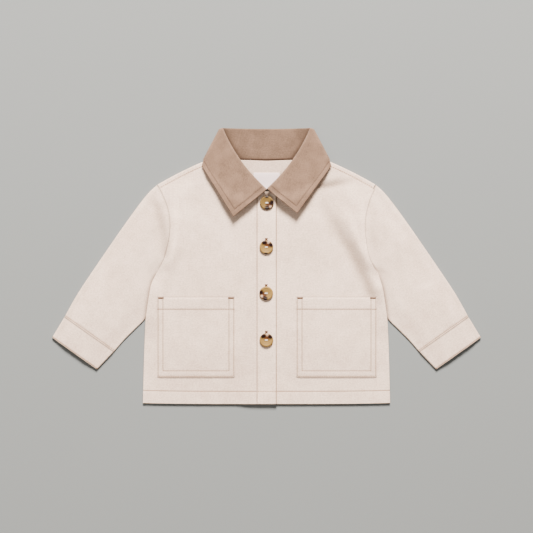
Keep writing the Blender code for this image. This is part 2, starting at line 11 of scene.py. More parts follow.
import bmesh
import bpy
import numpy as np
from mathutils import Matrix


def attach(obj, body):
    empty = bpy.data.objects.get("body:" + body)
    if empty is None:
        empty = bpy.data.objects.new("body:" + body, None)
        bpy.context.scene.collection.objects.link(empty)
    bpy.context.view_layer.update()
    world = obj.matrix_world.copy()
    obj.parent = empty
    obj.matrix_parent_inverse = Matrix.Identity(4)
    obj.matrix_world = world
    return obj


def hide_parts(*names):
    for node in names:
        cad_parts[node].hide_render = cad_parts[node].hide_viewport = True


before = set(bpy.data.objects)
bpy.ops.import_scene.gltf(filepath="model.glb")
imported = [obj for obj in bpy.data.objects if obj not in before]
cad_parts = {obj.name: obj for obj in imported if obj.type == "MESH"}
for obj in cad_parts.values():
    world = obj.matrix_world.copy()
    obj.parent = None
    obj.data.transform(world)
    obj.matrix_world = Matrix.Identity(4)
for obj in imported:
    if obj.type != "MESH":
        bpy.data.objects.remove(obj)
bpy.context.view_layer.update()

MM = 0.001
UP = (0, 0, 1)
SIDES = (("right", -1), ("left", 1))
RANDOM = np.random.default_rng(11)

# Cloth
CANVAS = 1.0
BAND = 1.5                      # placket and cuffs, sewn double
COLLAR_CLOTH = 1.5
POCKET_CLOTH = 0.9
LABEL_CLOTH = 0.6
GAP = 0.3
LAYER = 1.4                     # from one canvas layer to the next
FOLD = LAYER / 2                # radius of a flat fold, at the cloth's middle
GRID_STEP = 3.0                 # usual distance between a piece's grid lines

# Body
HEM_Y = -184.0
HEM_CORNER_Y = -182.7
HEM_HALF_WIDTH = 164.7
HEM_DEPTH = 17.0
NECK_POINT = (81.3, 140.3)
BACK_NECK_Y = 140.5
SHOULDER_TIP = (144.9, 108.6)
SHOULDER_INSET = FOLD + 0.55    # from the shoulder line in to the back's fold
SHOULDER_WRAP = 5.0             # from the fold on to the forward seam
FORWARD_SEAM = SHOULDER_INSET + SHOULDER_WRAP
SHOULDER_CROWN = 1.2            # bow of the shoulder line
BACK_LEVEL = 0.55               # middle of the back over the floor
BACK_COLLAR_LIFT = 1.9          # lift of the back over the collar's leaf
LEAF_CORNER = (88, 130)         # the leaf's lower corner under the back
BODY_LEVEL = 5.3                # middle of the front layer over the chest
COLLAR_LEVEL = 3.85             # and where it passes under the collar
PLACKET_EDGE = (-13.3, 13.6)    # stitched edge and free edge
PLACKET_TOP = 99.0
PLACKET_FOOT = HEM_Y - 0.1
PLACKET_STEP = 1.65             # from the front's middle up to the placket's
PLACKET_STITCH = (0.9, 0.5)     # in from the stitched edge and from the free edge
UNDER_EDGE = -12.4              # the left front's edge under the placket
SLEEVE_TUCK = 2.8               # lift of the body's side over the sleeve
POCKET_LIFT = 1.0               # from the front's middle up to the pocket's

# Y, or distances in from an edge, over which the body's height changes
BACK_EASE = (26, 2)             # past the leaf's corner, as the back rises over the leaf
TUCK_SIDE = (42, 8)             # in from the side seam, as the tuck rises over the sleeve
TUCK_TOP = (-7, -33)            # Y, as the tuck starts below the underarm
TUCK_FOOT = (-100, -66)         # Y, as it ends further down
UNDER_COLLAR = (58, 82)         # Y, as the front sinks towards the collar
BELOW_ARM = (20, -20)           # Y, as the front comes down on the back at the side seam
SIDE_SWELL = 34                 # in from the side seam, as the front swells
HEM_SWELL = 80                  # and up from the hem
SHOULDER_SWELL = 26             # and down from the shoulder
UNDER_DIP = (38, 8)             # past the placket's free edge, as the left front dips
OVER_RISE = (-30, -4)           # from its stitched edge, as the right front rises

# Neckline: the back's from right to left, and each front's from the shoulder to the centre
BACK_NECK = ((-NECK_POINT[0], NECK_POINT[1] - 0.6), (-36, 141.2), (0, BACK_NECK_Y - 0.5),
             (36, 141.2), (NECK_POINT[0], NECK_POINT[1] - 0.6))
FRONT_NECK = {
    -1: ((68.1, 131.5), (53.0, 116.5), (32.7, 105.4), (0.05 - PLACKET_EDGE[0], PLACKET_TOP)),
    1: ((68.1, 131.5), (53.0, 116.5), (32.7, 105.4), (14.0, 99.6), (UNDER_EDGE, 97.6)),
}
FRONT_NECK_START = (-3.4, 1.4)  # from the end of the forward seam to the neckline's start

# Side seam: Y, half width of the body
SIDE = ((HEM_CORNER_Y, HEM_HALF_WIDTH), (-140.0, 163.7), (-106.7, 162.7), (-74.7, 161.2),
        (-57.7, 159.2), (-32.0, 155.2), (-20.5, 152.1), (-8.8, 146.4))

# Armhole from the underarm up to the shoulder seam, per side: distance from the centre, Y
ARMHOLE = {
    -1: ((146.0, -8.8), (143.6, -4.5), (136.1, 10.3), (131.9, 25.2), (128.8, 42.1),
         (128.3, 59.2), (130.8, 76.1), (137.2, 93.3), (142.7, 104.0)),
    1: ((148.4, -8.4), (142.6, -1.2), (136.6, 13.0), (132.9, 31.6), (131.1, 50.7),
        (132.7, 69.9), (137.9, 88.9), (142.9, 100.7), (143.4, 103.7)),
}
BACK_ARMHOLE_HOLLOW = 0.55      # share of the front armhole's hollow

# Sleeve edges from the cuff up: distance from the centre, Y
SLEEVE_OUTER = ((269.2, -68.0), (250.2, -34.7), (218.0, 13.3), (184.7, 61.3),
                (160.7, 93.3), (145.3, 108.5))
SLEEVE_INNER = ((203.5, -114.3), (190.0, -98.7), (174.0, -82.7), (164.5, -73.4),
                (159.7, -67.0), (155.2, -58.0), (153.2, -50.0), (153.4, -43.0),
                (154.2, -36.5), (154.2, -31.0), (152.8, -25.0), (151.2, -20.0))
SLEEVE_UNDERARM = {
    -1: ((148.9, -14.5), (145.9, -8.9)),
    1: ((149.9, -14.5), (148.4, -9.2)),
}
CUFF_END = ((285.7, -95.4), (226.0, -137.8))
SLEEVE_SWELL = 2.3
CUFF_SWELL = 1.5
SLEEVE_STITCH = 2.1             # up from the cuff seam
CUFF_STITCH = 1.3               # in from the cuff's end
CUFF_SEAM = 0.2                 # up from the cuff seam to its line of painted shade

# Creases: name, start, bend and end (X, Y), depth (a ridge is negative), half width,
# painted shade (painted light on a lit crest is negative), and the share of its length over which
# it grows
CREASES = (
    ("chest valley", (62, 96), (106, 42), (156, -66), 3.5, 8.4, 1.15, 0.6),
    ("chest ridge", (88, 98), (122, 44), (156, -54), -2.6, 5.5, -0.3, 0.6),
    ("side ridge", (138, 12), (147, -8), (153, -36), -1.4, 4.0, -0.2, 0.3),
    ("collar crease", (130, 118), (94, 110), (64, 104), 2.2, 4.3, 1.3, 0.7),
    ("left shoulder crest", (98, 98), (116, 92), (130, 74), -0.8, 12.0, -0.12, 0.4),
    ("right shoulder crest", (-86, 112), (-112, 104), (-124, 78), -0.5, 12.0, -0.12, 0.4),
    ("armhole hollow", (-156, 104), (-132, 50), (-135, 2), 1.5, 5.6, 0.66, 0.25),
    ("armhole ridge", (-125, 92), (-113, 48), (-131, -6), -1.8, 4.5, -0.4, 0.3),
    ("left armhole ridge", (130, 100), (122, 54), (139, 2), -0.7, 3.4, -0.3, 0.3),
    ("left armhole hollow", (150, 92), (136, 52), (147, 12), 0.5, 4.5, 0.2, 0.3),
    ("under arm shade", (-92, 68), (-110, 18), (-140, -38), 0.7, 7.0, 0.26, 0.85),
    ("left sleeve crest", (150, 78), (172, 52), (184, 30), -0.6, 9.0, -0.1, 0.4),
    ("left sleeve hollow", (182, 36), (204, -2), (216, -30), 1.2, 9.0, 0.05, 0.3),
    ("right sleeve hollow", (-168, 60), (-196, 10), (-208, -30), 0.9, 9.0, 0.04, 0.3),
)
CREASE_FADE = 0.16              # share of a crease's length over which it ends
RIPPLE_SLOPE = 0.0011           # height of a long wave over its length

# Stitch lines and threads
STITCH_PITCH = 3.1
STITCH_LENGTH = 2.5
THREAD = 0.3                    # radius
FINE_THREAD = 0.27
GROOVE = (0.28, 0.75)           # depth and half width of the dip along a stitch line
PUCKER = (0.09, 4.5, 8.5)       # height, reach and wavelength of the ripple beside it
PUCKER_DRIFT = (1.7, 23.0)      # how far its phase drifts to and fro, and over what length
HEM_FOLD = (0.32, 1.4)          # height of a hem's double cloth, and how far its step reaches
PLACKET_FOLD = (0.3, 1.4)
POCKET_FOLD = (0.35, 1.3)

# Painted shade: a shade of 1 darkens the cloth's colour by SHADE_TINT, and a negative shade is
# painted light
MARK_WIDTH = 0.7                # half width of the painted shade along a stitch line
HEM_MARK = 1.7
SLEEVE_MARK = 1.25
CUFF_MARK = 1.4
ARMHOLE_MARK = 1.4
ARMHOLE_SHADE = {-1: (1.7, 18), 1: (1.5, 0)}   # reach of the painted shade beside the seam, and Y where it widens


# ------------------------------------------------------------------ curves

def ramp(value, start, end):
    """Change from 0 at start to 1 at end with level ends: 3 t^2 - 2 t^3."""
    t = np.clip((value - start) / (end - start), 0.0, 1.0)
    return t * t * (3 - 2 * t)


def bell(distance, width):
    """Fall from 1 at no distance as exp(-(distance / width)^2)."""
    return np.exp(-(distance / width) ** 2)


def bow(start, bend, end, t):
    """Quadratic curve from start to end, drawn towards bend."""
    return start * (1 - t) ** 2 + 2 * bend * t * (1 - t) + end * t ** 2


def path_length(path):
    """Length along a polyline at each of its points."""
    return np.append(0, np.cumsum(np.linalg.norm(np.diff(path, axis=0), axis=1)))


def read_at(places, along, values):
    """Rows of values read at the given places, where along is the place of each row."""
    return np.column_stack([np.interp(places, along, column) for column in values.T])


def spline(points, shares):
    """Catmull-Rom curve through the points, read at the given shares of its length."""
    p = np.array(points, float)
    p = np.vstack((2 * p[0] - p[1], p, 2 * p[-1] - p[-2]))
    t = np.linspace(0, 1, 32, endpoint=False)[None, :, None]
    a, b, c, d = p[:-3, None], p[1:-2, None], p[2:-1, None], p[3:, None]
    cubic = (3 * b - a - 3 * c + d) * t ** 3
    square = (2 * a - 5 * b + 4 * c - d) * t ** 2
    path = (b + 0.5 * ((c - a) * t + square + cubic)).reshape(-1, p.shape[1])
    path = np.vstack((path, p[-2:-1]))
    length = path_length(path)
    return read_at(shares * length[-1], length, path)


RIM_STEPS = np.array((0.0, 0.05, 0.18, 0.38, 0.7, 1.3))
LINE_STEPS = np.array((-1.6, -0.95, -0.5, -0.15, 0.15, 0.5, 0.95, 1.6))
CLOSEST = 0.45                  # share of a step that even ones stay off the closer ones


def steps(length, step, lines=(), ends=(True, True)):
    """Shares of a length at about even steps, closer at its free ends and at each line."""
    even = np.linspace(0, length, int(round(length / step)) + 1)
    start, stop = [RIM_STEPS if free else RIM_STEPS[:1] for free in ends]
    close = [start, length - stop] + [line + LINE_STEPS for line in lines]
    close = np.unique(np.concatenate(close).round(3))
    close = close[(close >= 0) & (close <= length)]
    far = np.abs(even[:, None] - close[None]).min(1) > CLOSEST * step
    return np.sort(np.append(even[far], close)) / length


def mirrored(points, side):
    """The same points on the given side of the centre line."""
    return np.array(points, float) * (side, 1)


def patch(bottom, top, left, right, across, up):
    """Coons patch: blend of four boundary curves at the shares across and up."""
    u = across[None, :, None]
    v = up[:, None, None]
    sides = (1 - u) * left[:, None] + u * right[:, None]
    ends = (1 - v) * bottom[None] + v * top[None]
    corners = ((1 - u) * (1 - v) * bottom[0] + u * (1 - v) * bottom[-1]
               + (1 - u) * v * top[0] + u * v * top[-1])
    return sides + ends - corners


# ----------------------------------------------------------------- heights

def side_distance(x, y):
    """Distance in from the side seam, level with the point."""
    heights, widths = np.array(SIDE).T
    return np.interp(y, heights, widths) - np.abs(x)


def shoulder_distance(x, y):
    """Distance down from the shoulder line."""
    along = np.subtract(SHOULDER_TIP, NECK_POINT)
    along = along / np.hypot(*along)
    return (np.abs(x) - NECK_POINT[0]) * along[1] - (y - NECK_POINT[1]) * along[0]


def hem_edge(x):
    """Y of the hem, which bows down a little between its corners."""
    return HEM_Y + (HEM_CORNER_Y - HEM_Y) * (x / HEM_HALF_WIDTH) ** 4


def back_height(x, y):
    """Middle of the back: flat, raised over the collar leaf and the sleeves."""
    corner_x, corner_y = LEAF_CORNER
    past_leaf = np.hypot(np.maximum(np.abs(x) - corner_x, 0), np.maximum(corner_y - y, 0))
    collar = BACK_COLLAR_LIFT * ramp(past_leaf, *BACK_EASE)
    near_side = ramp(side_distance(x, y), *TUCK_SIDE)
    beside_sleeve = ramp(y, *TUCK_TOP) * ramp(y, *TUCK_FOOT)
    return BACK_LEVEL + collar + SLEEVE_TUCK * near_side * beside_sleeve


def creases(x, y):
    """Height and painted shade of the soft troughs and ridges, which fade on both sides of a curve.
    """
    height, shade = np.zeros(np.shape(x)), np.zeros(np.shape(x))
    t = np.linspace(0, 1, 41)
    for _, start, bend, end, depth, width, tone, grow in CREASES:
        path_x, path_y = [bow(s, b, e, t) for s, b, e in zip(start, bend, end)]
        away = np.hypot(x[..., None] - path_x, y[..., None] - path_y)
        place = t[away.argmin(-1)]
        ends = ramp(place, 0, grow) * ramp(place, 1, 1 - CREASE_FADE)
        form = ends * bell(away.min(-1), width)
        height -= depth * form
        shade += tone * form
    return height, shade


RIPPLES = [(RANDOM.uniform(0, math.pi), RANDOM.uniform(24, 70), RANDOM.uniform(0, 6.3))
           for _ in range(9)]


def ripple(x, y):
    """Faint unevenness of pressed cloth: nine long waves, each along its own direction."""
    total = np.zeros(np.shape(x))
    for turn, length, phase in RIPPLES:
        along = x * math.cos(turn) + y * math.sin(turn)
        total += RIPPLE_SLOPE * length * np.sin(2 * math.pi * along / length + phase)
    return total


def front_height(x, y):
    """Middle of the front: rests on the back at its edges and swells between them."""
    floor = back_height(x, y) + LAYER
    level = BODY_LEVEL - (BODY_LEVEL - COLLAR_LEVEL) * ramp(y, *UNDER_COLLAR)
    side = 1 - ramp(y, *BELOW_ARM) * ramp(side_distance(x, y), SIDE_SWELL, 0)
    shoulder = ramp(shoulder_distance(x, y), 0, SHOULDER_SWELL)
    edges = side * ramp(y, HEM_Y, HEM_Y + HEM_SWELL) * shoulder
    form = np.maximum(level - floor, 0) + creases(x, y)[0] + ripple(x, y)
    return floor + np.maximum(form * edges, 0)


def under_height(x, y):
    """Middle of the left front, which dips to pass under the placket."""
    dip = ramp(x - PLACKET_EDGE[1], *UNDER_DIP)
    floor = back_height(x, y) + LAYER
    return np.maximum(front_height(x, y) - PLACKET_STEP * dip, floor)


def over_height(x, y):
    """Middle of the right front, which rises to meet the placket."""
    rise = ramp(x - PLACKET_EDGE[0], *OVER_RISE)
    placket = under_height(x * 0, y) + PLACKET_STEP
    return front_height(x, y) * (1 - rise) + placket * rise


def groove(distance, along):
    """Dip of a stitched line, with the small ripples that the thread pulls up beside it."""
    depth, width = GROOVE
    height, reach, wave = PUCKER
    drift, drift_length = PUCKER_DRIFT
    pull = np.sin(2 * math.pi * along / wave + drift * np.sin(along / drift_length))
    fade = np.exp(-np.abs(distance) / reach) * (1 - bell(distance, width))
    return -depth * bell(distance, width) + height * pull * fade


def hem_form(inside, along, depth, fold):
    """Double hem: a step of folded cloth that ends in a stitched groove."""
    height, reach = fold
    return height * ramp(inside - depth, reach, 0) + groove(inside - depth, along)


def mark(*distances):
    """Painted shade of stitched lines: 1 on a line, fading on both sides of it."""
    return np.max([bell(distance, MARK_WIDTH) for distance in distances], axis=0)


# --------------------------------------------------------------- materials

def node(tree, kind, settings=None, **inputs):
    """Add a shader node, with its settings and with values or links for its inputs.

    An input goes by its name, or by the letter i and its number.
    """
    new = tree.nodes.new("ShaderNode" + kind)
    for key, value in (settings or {}).items():
        setattr(new, key, value)
    for key, value in inputs.items():
        socket = new.inputs[int(key[1:]) if key[1:].isdigit() else key]
        if isinstance(value, bpy.types.NodeSocket):
            tree.links.new(value, socket)
        else:
            socket.default_value = value
    return new


def maths(tree, operation, a, b=0.0, c=0.0):
    """Result of an operation on up to three numbers."""
    return node(tree, "Math", {"operation": operation}, i0=a, i1=b, i2=c).outputs[0]


def vector(tree, operation, a, output=0, **inputs):
    """Result of an operation on a vector and the other inputs."""
    return node(tree, "VectorMath", {"operation": operation}, i0=a, **inputs).outputs[output]


def mix(tree, share, a, b):
    """Colour at the given share of the way from a to b."""
    return node(tree, "Mix", {"data_type": "RGBA"}, i0=share, i6=a, i7=b).outputs[2]


def own_place(tree):
    """The point's place in the piece's own mesh."""
    return node(tree, "TexCoord").outputs["Object"]


def own_shade(tree):
    """The piece's attribute for how much painted shade darkens each point."""
    return node(tree, "Attribute", {"attribute_name": "shade"}).outputs["Fac"]


def linear(red, green, blue):
    """Linear colour with alpha from 0-255 screen values, by the curve that screens use."""
    return (*[(v / 255 / 12.92 if v < 10.3 else ((v / 255 + 0.055) / 1.055) ** 2.4)
              for v in (red, green, blue)], 1.0)


def new_material(name, roughness, sheen=0.0):
    """New material, with its node tree and its shader."""
    material = bpy.data.materials.new(name)
    material.use_nodes = True
    shader = material.node_tree.nodes["Principled BSDF"]
    shader.inputs["Roughness"].default_value = roughness
    shader.inputs["Sheen Weight"].default_value = sheen
    shader.inputs["Sheen Roughness"].default_value = 0.45
    shader.inputs["Specular IOR Level"].default_value = 0.25
    return material, material.node_tree, shader


def noise(tree, place, scale, detail=3.0, roughness=0.55):
    """Cloudy pattern from 0 to 1 with about one cell for each unit of place times scale."""
    return node(tree, "TexNoise", Vector=place, Scale=scale, Detail=detail,
                Roughness=roughness).outputs[0]


def stretched(tree, place, across, up):
    """Coordinates scaled along each direction."""
    return vector(tree, "MULTIPLY", place, i1=(across, up, 1.0))


SHADE_TINT = (-0.45, -0.465, -0.48)   # how far a painted shade of 1 takes each colour down
MOST_SHADE = 1.4                # past which a shade takes no more colour down
DEEP_SHADE = (2.0, 4.0, 0.03)   # shades between which the painted shade turns as dark as a gap's shadow, and how dark
YARN_LENGTH = 0.03              # a yarn's noise along its length, as a share of that across it
TWILL_PITCH = 1.1               # in yarns
MOTTLE, CLOUD, FIBRES = 80.0, 16.0, 900.0   # cells of noise for each metre
FLECKS = (420.0, 560.0)         # the same across and along the grain
RELIEF = 0.3 * MM               # height of the weave's bump


def woven(name, light, dark, yarn, slub, bump, roughness, sheen, nap=0.0, blotch=0.9, fleck=0.0):
    """Cloth: crossing yarns and slubs along the grain, mottled colour, and fibre nap.

    The pattern reads the piece's UV map, which holds the flat cut in metres.  Each
    noise is centred on its mean of a half, so the colour lies midway at its mean.
    The piece's shade attribute then darkens the colour with painted shade, and a
    negative shade lightens it with painted light.
    """
    material, tree, shader = new_material(name, roughness, sheen)
    grain = node(tree, "UVMap", {"uv_map": "cut"}).outputs[0]
    place = own_place(tree)
    warp = noise(tree, stretched(tree, grain, 1 / yarn, YARN_LENGTH / yarn), 1 / MM, 2.0)
    weft = noise(tree, stretched(tree, grain, YARN_LENGTH / yarn, 1 / yarn), 1 / MM, 2.0)
    yarns = maths(tree, "ADD", warp, weft)
    parts = node(tree, "SeparateXYZ", Vector=grain)
    diagonal = maths(tree, "ADD", parts.outputs[0], parts.outputs[1])
    turns = 2 * math.pi / (TWILL_PITCH * yarn * MM)
    twill = maths(tree, "SINE", maths(tree, "MULTIPLY", diagonal, turns))
    mottle = noise(tree, place, MOTTLE, 4.0)
    flecks = noise(tree, stretched(tree, grain, *FLECKS), 1.0, 3.0, 0.75)
    cloud = noise(tree, place, CLOUD, 2.0)
    fibres = noise(tree, place, FIBRES, 3.0, 0.7)
    shade = maths(tree, "MULTIPLY_ADD", yarns, slub, 0.5 - slub)
    for pattern, strength in ((mottle, blotch), (cloud, 0.8 * blotch), (flecks, fleck)):
        centred = maths(tree, "MULTIPLY_ADD", pattern, strength, -strength / 2)
        shade = maths(tree, "ADD", shade, centred)
    shade = node(tree, "Clamp", Value=shade).outputs[0]
    colour = mix(tree, shade, linear(*dark), linear(*light))
    # Painted shade from the piece's shade attribute darkens the colour; a negative shade is painted
    # light
    given = own_shade(tree)
    tint = vector(tree, "MULTIPLY_ADD", maths(tree, "MINIMUM", given, MOST_SHADE), i1=SHADE_TINT,
                  i2=(1.0, 1.0, 1.0))
    colour = vector(tree, "MULTIPLY", colour, i1=tint)
    start, end, darkest = DEEP_SHADE
    deep = node(tree, "MapRange", Value=given, i1=start, i2=end, i3=1.0, i4=darkest).outputs[0]
    colour = vector(tree, "SCALE", colour, Scale=deep)
    tree.links.new(colour, shader.inputs["Base Color"])
    height = maths(tree, "MULTIPLY_ADD", twill, 0.25, yarns)
    height = maths(tree, "MULTIPLY_ADD", fibres, 0.6 + nap, height)
    relief = node(tree, "Bump", Strength=bump, Distance=RELIEF, Height=height)
    tree.links.new(relief.outputs[0], shader.inputs["Normal"])
    return material


def thread_finish(name, colour):
    """Sewing thread, finely mottled as twisted fibres are."""
    material, tree, shader = new_material(name, 0.6, 0.2)
    twist = noise(tree, own_place(tree), 1400.0, 2.0)
    shade = mix(tree, twist, linear(*[0.8 * v for v in colour]), linear(*colour))
    tree.links.new(shade, shader.inputs["Base Color"])
    return material


HORN_GROUND = ((112, 87, 41), (152, 124, 70))
HORN_DARK, HORN_CREAM, HORN_RUST = (24, 6, 6), (188, 160, 136), (84, 50, 27)
# Patches of the horn, in button radii: name, centre, half widths, turn in degrees, colour
HORN_PATCHES = (
    ("rust", (0.36, -0.34), (0.62, 0.5), -45, HORN_RUST),
    ("cream", (0.54, -0.54), (0.26, 0.24), 45, HORN_CREAM),
    ("dark side", (0.74, 0.02), (0.4, 0.44), 10, HORN_DARK),
    ("dark foot", (0.0, -0.74), (0.4, 0.4), 0, HORN_DARK),
)
PATCH_EDGE = (0.45, 1.25)       # where a patch starts to fade and where it ends
# Dark spots on the rims of two buttons: X, Y
RIM_SPOTS = ((0.3, 92.1), (-0.8, 16.2))
SPOT_SIZE = (3.4 * MM, 1.9 * MM)


def horn_patch(tree, ground, place, centre, size, turn, colour):
    """Blend a colour into the ground over a soft-edged ellipse."""
    local = node(tree, "Mapping", {"vector_type": "TEXTURE"}, Vector=place, Location=(*centre, 0),
                 Rotation=(0, 0, math.radians(turn)), Scale=(*size, 1)).outputs[0]
    away = vector(tree, "LENGTH", local, "Value")
    start, end = PATCH_EDGE
    inside = node(tree, "MapRange", {"interpolation_type": "SMOOTHSTEP"}, Value=away,
                  i1=start, i2=end, i3=1.0, i4=0.0).outputs[0]
    return mix(tree, inside, ground, linear(*colour))


def horn_finish():
    """Polished horn: honey ground with dark, cream and rust patches in soft-edged shapes."""
    material, tree, shader = new_material("tortoiseshell", 0.46)
    shader.inputs["Specular IOR Level"].default_value = 0.2
    face = node(tree, "UVMap", {"uv_map": "face"}).outputs[0]
    wander = node(tree, "TexNoise", Vector=face, Scale=2.2, Detail=3.0).outputs["Color"]
    wander = vector(tree, "SUBTRACT", wander, i1=(0.5, 0.5, 0.5))
    face = vector(tree, "ADD", face, i1=vector(tree, "SCALE", wander, Scale=0.3))
    streak = noise(tree, stretched(tree, face, 6.0, 1.5), 1.5)
    dark, light = HORN_GROUND
    colour = mix(tree, streak, linear(*dark), linear(*light))
    for _, *patch in HORN_PATCHES:
        colour = horn_patch(tree, colour, face, *patch)
    place = own_place(tree)
    for x, y in RIM_SPOTS:
        colour = horn_patch(tree, colour, place, (x * MM, y * MM), SPOT_SIZE, 0, HORN_DARK)
    # Painted shade from the shade attribute darkens the horn
    kept = maths(tree, "SUBTRACT", 1.0, own_shade(tree))
    tree.links.new(vector(tree, "SCALE", colour, Scale=kept), shader.inputs["Base Color"])
    return material


CLOTH = woven("canvas", light=(246, 225, 209), dark=(208, 185, 168), yarn=0.55, slub=0.7,
              bump=0.32, roughness=0.88, sheen=0.12, fleck=2.6)
COLLAR_TWILL = woven("collar twill", light=(132, 108, 91), dark=(97, 78, 64), yarn=0.5, slub=0.7,
                     bump=0.4, roughness=0.9, sheen=0.15, nap=0.6, blotch=1.15, fleck=1.5)
LABEL_COTTON = woven("label cotton", light=(243, 228, 231), dark=(232, 215, 219), yarn=0.25,
                     slub=0.5, bump=0.2, roughness=0.75, sheen=0.1)
SEAM_THREAD = thread_finish("seam thread", (182, 134, 90))
COLLAR_THREAD = thread_finish("collar thread", (84, 60, 45))
TACK_THREAD = thread_finish("tack thread", (92, 58, 26))
HOLE_THREAD = thread_finish("buttonhole thread", (92, 60, 40))
BUTTON_THREAD = thread_finish("button thread", (240, 230, 218))
HORN = horn_finish()


# ------------------------------------------------------------------ meshes

WELD = 2e-7                     # points closer than this are joined, in metres


def in_scene(name, data):
    """Add an object with the given mesh, light or camera to the scene."""
    new = bpy.data.objects.new(name, data)
    bpy.context.scene.collection.objects.link(new)
    return new


def worn_piece(name, mesh, material):
    """Smooth-shaded piece of the jacket, on the one body that it has."""
    mesh.materials.append(material)
    mesh.shade_smooth()
    piece = in_scene(name, mesh)
    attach(piece, "root")
    return piece


def add_mesh(name, points, faces, material, uv, layer, shade):
    """Make one closed object from points in millimetres, with a UV for each face corner."""
    mesh = bpy.data.meshes.new(name)
    mesh.from_pydata((points * MM).tolist(), [], faces.tolist())
    values = mesh.attributes.new("shade", "FLOAT", "POINT")
    values.data.foreach_set("value", shade.astype(np.float32).ravel())
    corners = mesh.uv_layers.new(name=layer)
    corners.data.foreach_set("uv", uv.astype(np.float32).ravel())
    bm = bmesh.new()
    bm.from_mesh(mesh)
    bmesh.ops.remove_doubles(bm, verts=bm.verts, dist=WELD)
    bmesh.ops.recalc_face_normals(bm, faces=bm.faces)
    bm.to_mesh(mesh)
    bm.free()
    return worn_piece(name, mesh, material)


def point_index(rows, columns, ring):
    """Index of each point of a grid, with the first column again at the end of a ring."""
    index = np.arange(rows * columns).reshape(rows, columns)
    return np.hstack((index, index[:, :1])) if ring else index


def cell_corners(grid):
    """Values at the four corners of each cell of a grid, in turn round the cell."""
    corners = (grid[:-1, :-1], grid[:-1, 1:], grid[1:, 1:], grid[1:, :-1])
    return np.stack(corners, 2).reshape(-1, 4, *grid.shape[2:])


def cloth(name, surface, half, cut, material, shade, ring=False):
    """Closed shell of cloth on a grid of rows and columns.

    surface(h) gives the grid's points at the height h off the cloth's middle; half is
    the half thickness at each point, nought along a free edge; cut is the flat cut's
    coordinates in millimetres, with one more column than the grid on a ring; shade
    is the painted shade that darkens each point's colour, for creases, stitched lines,
    gaps and shadows, and a negative shade is painted light.
    """
    faces_up, faces_down = surface(half), surface(-half)
    quads, uvs = cell_corners(point_index(*half.shape, ring)), cell_corners(cut * MM)
    points = np.vstack((faces_up.reshape(-1, 3), faces_down.reshape(-1, 3)))
    faces = np.vstack((quads, quads[:, ::-1] + half.size))
    uvs = np.concatenate((uvs, uvs[:, ::-1]))
    return add_mesh(name, points, faces, material, uvs, "cut", np.stack((shade, shade)))


def rounded(distance, thickness):
    """Half thickness that closes along a free edge in a quarter circle."""
    near = np.clip(distance / (thickness / 2), 0, 1)
    return thickness / 2 * np.sqrt(np.maximum(1 - (1 - near) ** 2, 0))


def grid_lengths(plan):
    """Lengths along the columns and along the rows of a grid of points."""
    across = np.linalg.norm(np.diff(plan, axis=1), axis=2)
    up = np.linalg.norm(np.diff(plan, axis=0), axis=2)
    across = np.hstack((np.zeros((len(plan), 1)), np.cumsum(across, 1)))
    up = np.vstack((np.zeros((1, plan.shape[1])), np.cumsum(up, 0)))
    return across, up


def edge_distance(plan):
    """Distance of each grid point from the nearest edge, along its row and its column."""
    across, up = grid_lengths(plan)
    ends = np.minimum(across, across[:, -1:] - across)
    return np.minimum(ends, np.minimum(up, up[-1:] - up))


def grid_area(grid):
    """Area of a grid of points in space, from the cross products of its cells' diagonals."""
    one = grid[1:, 1:] - grid[:-1, :-1]
    two = grid[1:, :-1] - grid[:-1, 1:]
    return 0.5 * np.linalg.norm(np.cross(one, two), axis=-1).sum()


def plan_size(plan):
    """Greatest width and length of a grid of plan points, and its area."""
    width = np.linalg.norm(plan[:, -1] - plan[:, 0], axis=1).max()
    length = np.linalg.norm(plan[-1] - plan[0], axis=1).max()
    return width, length, grid_area(np.dstack((plan, 0 * plan[..., 0])))


def declare(piece, size, layers, nodes):
    """Hide the solids that the piece stands for; its flat size is worked out but not used."""
    width, length, area = size
    width, length, area = width * layers * MM, length * MM, area * layers * MM * MM
    area = min(area, width * length)
    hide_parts(*nodes)


# ----------------------------------------------------------------- threads

STITCH_RINGS = np.array((-1.0, -0.7, 0.0, 0.7, 1.0))
STITCH_SIDES = 6
STITCH_ARCH = 0.16
SUNK = 0.1                      # depth of a thread's middle below the cloth's face
HEM_SUNK = 0.12
SHOULDER_SUNK = 0.08
COLLAR_SUNK = 0.05


def stitch_run(path, up=UP, pitch=STITCH_PITCH, length=STITCH_LENGTH):
    """Centres, directions, normals and lengths of the stitches at even steps along a path."""
    path = np.array(path, float)
    along = path_length(path)
    count = max(int(along[-1] / pitch), 1)
    middle = (np.arange(count) + 0.5) * along[-1] / count
    start, end = [read_at(middle + s * length / 2, along, path) for s in (-1, 1)]
    direction = (end - start) / np.linalg.norm(end - start, axis=1)[:, None]
    normal = read_at(middle, along, np.broadcast_to(np.array(up, float), path.shape))
    return read_at(middle, along, path), direction, normal, np.full(count, length)


